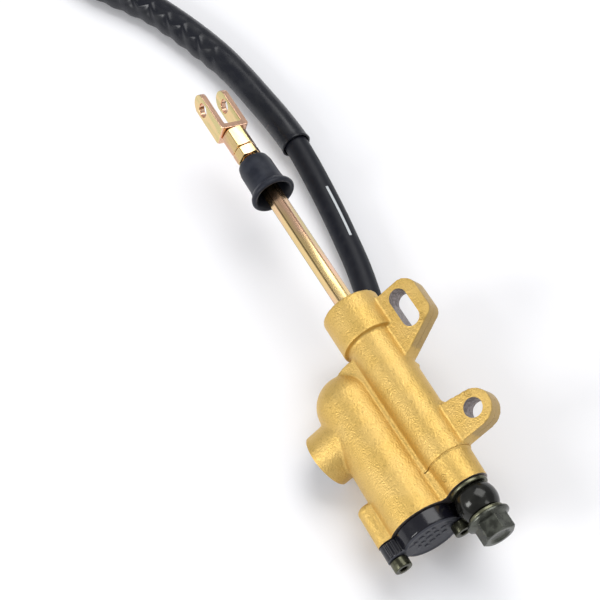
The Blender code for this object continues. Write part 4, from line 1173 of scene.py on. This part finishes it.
class ClevisOperator(bpy.types.Operator):
    """Model the clevis: its hexagon coupling and the bent yoke riveted to it"""

    bl_idname = "cylinder.clevis"
    bl_label = "Clevis"

    def coupling(self, s):
        start = span("clevis_yoke")[1] + GAP
        end = span("lock_nut")[0] - GAP
        base = span("clevis_yoke")[1] - s.yoke_base
        piece = chamfered_hex("coupling", s.nut_flats, start, end, s.coupling_turn)
        spigot = turned("spigot", [
            (base - 0.0001, 0), (base - 0.0001, s.spigot - 0.0004), (base + 0.0003, s.spigot),
            (start + PAST, s.spigot), (start + PAST, 0)])
        piece = moulded("coupling", [piece, spigot], voxel=0.00016, rounds=1)
        return boolean(piece, bar("coupling_thread", s.thread + THREAD_ROOM, start + 0.0002,
                                  end + PAST, 48))

    def yoke(self, s):
        tip, top = span("clevis_yoke")
        inner = s.yoke_gap / 2
        outer = inner + s.yoke_thickness
        base = top - s.yoke_base
        width = s.yoke_width / 2
        outer_bend, inner_bend = 0.0024, 0.0009
        outline = [
            (tip, -outer),
            *eased([(top - 0.003, -outer), (top, -outer), (top, -outer + 0.003)], outer_bend,
                   steps=8),
            *eased([(top, outer - 0.003), (top, outer), (top - 0.003, outer)], outer_bend,
                   steps=8),
            (tip, outer), (tip, inner),
            *eased([(base - 0.002, inner), (base, inner), (base, inner - 0.002)], inner_bend),
            *eased([(base, -inner + 0.002), (base, -inner), (base - 0.002, -inner)], inner_bend),
            (tip, -inner)]
        turn = Matrix.Rotation(CLEVIS_TURN, 4, "X")
        piece = plate("yoke", outline, -width, width, turn)
        ears = plate("ears", arc((tip + width, 0), width, 90, 270, 24)
                     + [(top + PAST, -width - 0.0002), (top + PAST, width + 0.0002)],
                     -outer - PAST, outer + PAST, Matrix.Rotation(CLEVIS_TURN + QUARTER, 4, "X"))
        boolean(piece, ears, "INTERSECT")
        boolean(piece, bar("rivet", s.spigot + 0.0002, base - PAST, top + PAST, 48))
        pin = top - s.pin_reach
        across = turn @ shift(pin) @ Matrix.Rotation(QUARTER, 4, "Z")
        boolean(piece, bar("pin", s.pin_radius, -outer - PAST, outer + PAST, 48, where=across))
        return moulded("yoke", [piece], voxel=0.00019, rounds=3)

    def execute(self, context):
        s = context.scene.cylinder_rod
        zinc = yellow_zinc("clevis_zinc", s)
        finished(self.coupling(s), zinc, "clevis", "clevis_coupling")
        finished(self.yoke(s), yellow_zinc("yoke_zinc", s, sheared=True), "clevis",
                 "clevis_yoke", facing=EAR_AXIS)
        return {"FINISHED"}


class BootOperator(bpy.types.Operator):
    """Model the rubber dust boot on the rod"""

    bl_idname = "cylinder.boot"
    bl_label = "Dust boot"

    def execute(self, context):
        s = context.scene.cylinder_rod
        start, end = span("dust_boot")
        hole = s.flats / math.sqrt(3) + 0.0001
        body, lip = s.boot_radius, s.boot_lip
        inner = body - s.boot_wall
        piece = turned("boot", [
            (start, hole), (start + 0.0001, body - 0.0024), (start + 0.0014, body - 0.0006),
            (start + 0.0045, body), (end - 0.0075, body + 0.0001), (end - 0.0042, body + 0.0006),
            (end - 0.0024, lip - 0.0004), (end - 0.0010, lip), (end, lip - 0.0007),
            (end - 0.0003, lip - 0.0019), (end - 0.0028, inner + 0.0008),
            (end - 0.0060, inner), (start + 0.0034, inner), (start + 0.0026, inner - 0.0008),
            (start + 0.0026, hole)], ease=0.0010, ring=True)
        finished(piece, boot_rubber(s), "boot", "dust_boot", degrees=60.0)
        return {"FINISHED"}


class HoseOperator(bpy.types.Operator):
    """Model the hose, its sleeve, its ferrules and the banjo at its far end"""

    bl_idname = "cylinder.hose"
    bl_label = "Hose"

    def sleeve_radius(self, s):
        """The sleeve's radius: smooth at its end, then pulled into zig-zag folds."""
        def bell(away, width):
            return math.exp(-(away / width) ** 2)

        def radius(distance, turn):
            start = min(max((distance - s.smooth_length + 0.010) / 0.030, 0.0), 1.0)
            start = start * start * (3 - 2 * start)
            phase = distance / s.fold
            zigzag = abs((phase % 1.0) * 2 - 1) * 2 - 1
            ridge_at = 0.30 * zigzag - 0.18
            ridge = bell(turn - ridge_at, 0.15)
            valley = bell(turn - ridge_at - 0.50, 0.28)
            back = bell(turn - ridge_at + 0.50, 0.26)
            inner = bell(turn + 1.65, 0.75)
            scallop = 0.5 + 0.5 * math.cos(math.tau * phase)
            collar = bell(distance, 0.0012)
            grown = 0.00050 * ridge - 0.00012 * valley - 0.00030 * back
            grown += inner * (0.00062 * scallop + 0.00025) + 0.00016
            return s.sleeve_radius + start * grown + 0.00022 * collar
        return radius

    def ferrule(self, name):
        """A ferrule along x from its bare end at 0, with three crimped bands."""
        low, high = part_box("hose_ferrule")
        radius = min(high.z - low.z, high.y - low.y) / 2
        crimped = radius * 0.925
        first, pitch, band, edge = 0.0036, 0.0058, 0.0038, 0.0006
        profile = [(0, 0), (0, radius * 0.66), (0.0012, radius * 0.92)]
        for ring in range(3):
            start = first + ring * pitch
            profile += [(start - edge, radius), (start, crimped), (start + band, crimped),
                        (start + band + edge, radius)]
        profile += [(FERRULE_LENGTH - 0.0008, radius), (FERRULE_LENGTH, radius * 0.9),
                    (FERRULE_LENGTH, 0)]
        return turned(name, profile, ease=0.00025)

    def far_banjo(self, outlet):
        """The far banjo, its eye lying flat at the end of a straight neck."""
        low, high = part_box("end_banjo")
        half = (high.z - low.z) / 2
        rim = outlet.ball_radius
        flat = Matrix.Rotation(QUARTER, 4, "Y")
        eye = turned("far_eye", [(half, 0), (half, rim * 0.84), (half * 0.5, rim),
                                 (-half * 0.5, rim), (-half, rim * 0.84), (-half, 0)],
                     flat, ease=0.0012)
        reach = rim + 0.012
        neck = bar("far_neck", outlet.neck_radius, -reach, -0.003, 32)
        piece = moulded("far_banjo", [eye, neck], voxel=0.00030, rounds=4)
        boolean(piece, bar("far_hole", outlet.washer_hole, -half - PAST, half + PAST, 64,
                           where=flat))
        return piece, reach

    def execute(self, context):
        s = context.scene.cylinder_hose
        stage = context.scene.cylinder_stage
        outlet = context.scene.cylinder_outlet
        path = evenly(HOSE_ROUTE, s.spacing)
        axis, right, _ = camera_axes(stage)
        lean = math.radians(24)
        printed = axis * math.cos(lean) + right * math.sin(lean)
        hose = tube("hose", path, lambda distance, turn: s.radius, 32, printed)
        dressed(hose, hose_rubber(s), "housing", "brake_hose")

        first = round(s.sleeve_start / s.spacing)
        last = round((s.sleeve_start + s.sleeve_length) / s.spacing)
        fine = evenly(path[first:last + 1], 0.0008)
        sleeve = tube("sleeve", fine, self.sleeve_radius(s), 72, axis, wall=0.0009)
        dressed(sleeve, sleeve_black(s), "housing", "hose_sleeve")

        crimp = olive_zinc("ferrule_olive", (0.13, 0.13, 0.10))
        near_low, near_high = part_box("hose_ferrule")
        middle = (near_low + near_high) / 2
        about = Matrix.Rotation(math.pi, 4, "Z")
        near = self.ferrule("near_ferrule")
        far = copied(near, "far_ferrule")
        finished(near, crimp, "housing", "hose_ferrule",
                 Matrix.Translation((near_high.x, middle.y, middle.z)) @ about)

        heading = Vector(HOSE_ROUTE[-1]) - path[-2]
        heading.z = 0.0
        heading.normalize()
        turn = Matrix.Rotation(math.atan2(heading.y, heading.x), 4, "Z")
        mouth = Vector(HOSE_ROUTE[-1]) + heading * (GAP + FERRULE_LENGTH)
        finished(far, crimp, "housing", "end_ferrule", Matrix.Translation(mouth) @ turn @ about)
        eye, reach = self.far_banjo(outlet)
        finished(eye, banjo_black(outlet), "housing", "end_banjo",
                 Matrix.Translation(mouth + heading * (GAP + reach)) @ turn)
        return {"FINISHED"}


class InsideOperator(bpy.types.Operator):
    """Give the pieces inside the bore, the reservoir and the sight glass their finishes"""

    bl_idname = "cylinder.inside"
    bl_label = "Inside pieces"

    def execute(self, context):
        rubber = inner_look("seal_rubber", (0.020, 0.020, 0.022), 0.0, 0.5)
        steel = inner_look("bright_steel", (0.56, 0.56, 0.57), 1.0, 0.25)
        alloy = inner_look("turned_alloy", (0.74, 0.75, 0.77), 1.0, 0.22)
        plated = inner_look("plated_steel", (0.62, 0.52, 0.30), 1.0, 0.30)
        oxide = inner_look("black_oxide", (0.060, 0.060, 0.065), 0.8, 0.35)
        looks = {
            "piston": alloy, "primary_cup": rubber, "secondary_cup": rubber,
            "spring_seat": plated, "stop_washer": plated,
            "circlip": oxide, "diaphragm": rubber, "sight_glass_seal": rubber,
            "sight_glass": sight_glass_look(),
        }
        for node, look in looks.items():
            piece = frame["nodes"][node]
            piece.data.materials.clear()
            piece.data.materials.append(look)
        self.spring(steel)
        return {"FINISHED"}

    def spring(self, steel):
        """The return spring, a coil of wire filling its node's length along the bore."""
        low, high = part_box("return_spring")
        wire = 0.00065
        coil = (high.z - low.z) / 2 - wire
        start, end = low.x - COLLAR_FACE + wire, high.x - COLLAR_FACE - wire
        turns, steps = 7.5, 28
        count = round(turns * steps)
        path = [AXES @ Vector((start + (end - start) * step / count,
                               coil * math.cos(math.tau * step / steps),
                               coil * math.sin(math.tau * step / steps)))
                for step in range(count + 1)]
        piece = tube("spring", path, lambda distance, turn: wire, 12, Vector((1, 0, 0)))
        dressed(piece, steel, "housing", "return_spring")
        slide = next(joint for joint in frame["joints"] if joint["name"] == "piston_slide")
        stroke = slide["range_m"][1]
        1 - stroke / (high.x - low.x)
        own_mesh(piece)


# ------------------------------------------------------------------ stage


def camera_axes(stage):
    """The camera's axis towards itself, its right and its up."""
    axis = Vector((math.sin(stage.azimuth) * math.cos(stage.elevation),
                   -math.cos(stage.azimuth) * math.cos(stage.elevation),
                   math.sin(stage.elevation)))
    level = Vector((math.cos(stage.azimuth), math.sin(stage.azimuth), 0))
    above = axis.cross(level)
    right = level * math.cos(stage.roll) + above * math.sin(stage.roll)
    return axis, right, axis.cross(right)


class StageOperator(bpy.types.Operator):
    """Set up the camera, the pale floor and the soft lights"""

    bl_idname = "cylinder.stage"
    bl_label = "Stage"

    def camera(self, stage):
        axis, right, up = camera_axes(stage)
        deselect()
        bpy.ops.object.camera_add()
        camera = bpy.context.object
        view = Matrix((right, up, axis)).transposed().to_4x4()
        view.translation = (stage.x, stage.y, stage.z)
        camera.matrix_world = view
        camera.data.lens = stage.lens
        camera.data.sensor_width = 36.0
        camera.data.clip_start = 0.01
        bpy.context.scene.camera = camera

    def softbox(self, name, where, target, width, height, watts):
        deselect()
        bpy.ops.object.light_add(type="AREA", location=where)
        light = bpy.context.object
        light.name = name
        light.data.shape = "RECTANGLE"
        light.data.size = width
        light.data.size_y = height
        light.data.energy = watts
        towards = Vector(target) - Vector(where)
        light.rotation_euler = towards.to_track_quat("-Z", "Y").to_euler()

    def floor(self, stage):
        deselect()
        bpy.ops.mesh.primitive_plane_add(size=8.0)
        floor = bpy.context.object
        floor.name = "floor"
        look = Look("floor_paper")
        cloud = look.noise(look.place(), 0.4, detail=2.0)
        tint = look.mix(cloud, stage.floor, [channel * 0.995 for channel in stage.floor])
        floor.data.materials.append(look.set(Base_Color=tint, Roughness=0.55))

    def execute(self, context):
        stage = context.scene.cylinder_stage
        self.camera(stage)
        self.floor(stage)
        world = bpy.data.worlds.new("studio")
        context.scene.world = world
        world.use_nodes = True
        sky = world.node_tree.nodes["Background"]
        sky.inputs["Color"].default_value = (0.97, 0.98, 1.0, 1.0)
        sky.inputs["Strength"].default_value = 0.45
        centre = (0.0, 0.0, 0.02)
        self.softbox("top_box", (-0.30, 0.45, 1.00), centre, 0.9, 0.8, 8.0)
        self.softbox("left_box", (0.05, -0.95, 0.62), centre, 0.35, 0.5, 6.0)
        self.softbox("right_box", (0.70, 0.50, 0.60), centre, 0.25, 0.4, 1.0)
        context.scene.view_settings.view_transform = "Standard"
        return {"FINISHED"}


class CylinderPanel(bpy.types.Panel):
    """The pieces of the master cylinder, in the sidebar"""

    bl_idname = "VIEW3D_PT_master_cylinder"
    bl_label = "Master cylinder"
    bl_space_type = "VIEW_3D"
    bl_region_type = "UI"
    bl_category = "Master cylinder"

    def draw(self, context):
        for operator in OPERATORS:
            self.layout.operator(operator.bl_idname)
        for name, group in SETTINGS.items():
            box = self.layout.box()
            settings = getattr(context.scene, name)
            for key in group.__annotations__:
                box.prop(settings, key)


SETTINGS = {
    "cylinder_stage": StageSettings,
    "cylinder_casting": CastingSettings,
    "cylinder_cap": CapSettings,
    "cylinder_outlet": OutletSettings,
    "cylinder_rod": RodSettings,
    "cylinder_hose": HoseSettings,
}
OPERATORS = (StageOperator, HoseOperator, CastingOperator, CapOperator, OutletOperator,
             RodOperator, ClevisOperator, BootOperator, InsideOperator)


def register():
    for name, group in SETTINGS.items():
        bpy.utils.register_class(group)
        setattr(bpy.types.Scene, name, PointerProperty(type=group))
    for operator in OPERATORS:
        bpy.utils.register_class(operator)
    bpy.utils.register_class(CylinderPanel)


def unregister():
    bpy.utils.unregister_class(CylinderPanel)
    for operator in reversed(OPERATORS):
        bpy.utils.unregister_class(operator)
    for name, group in reversed(SETTINGS.items()):
        delattr(bpy.types.Scene, name)
        bpy.utils.unregister_class(group)


def main():
    register()
    for operator in OPERATORS:
        group, action = operator.bl_idname.split(".")
        getattr(getattr(bpy.ops, group), action)()


if __name__ == "__main__":
    main()
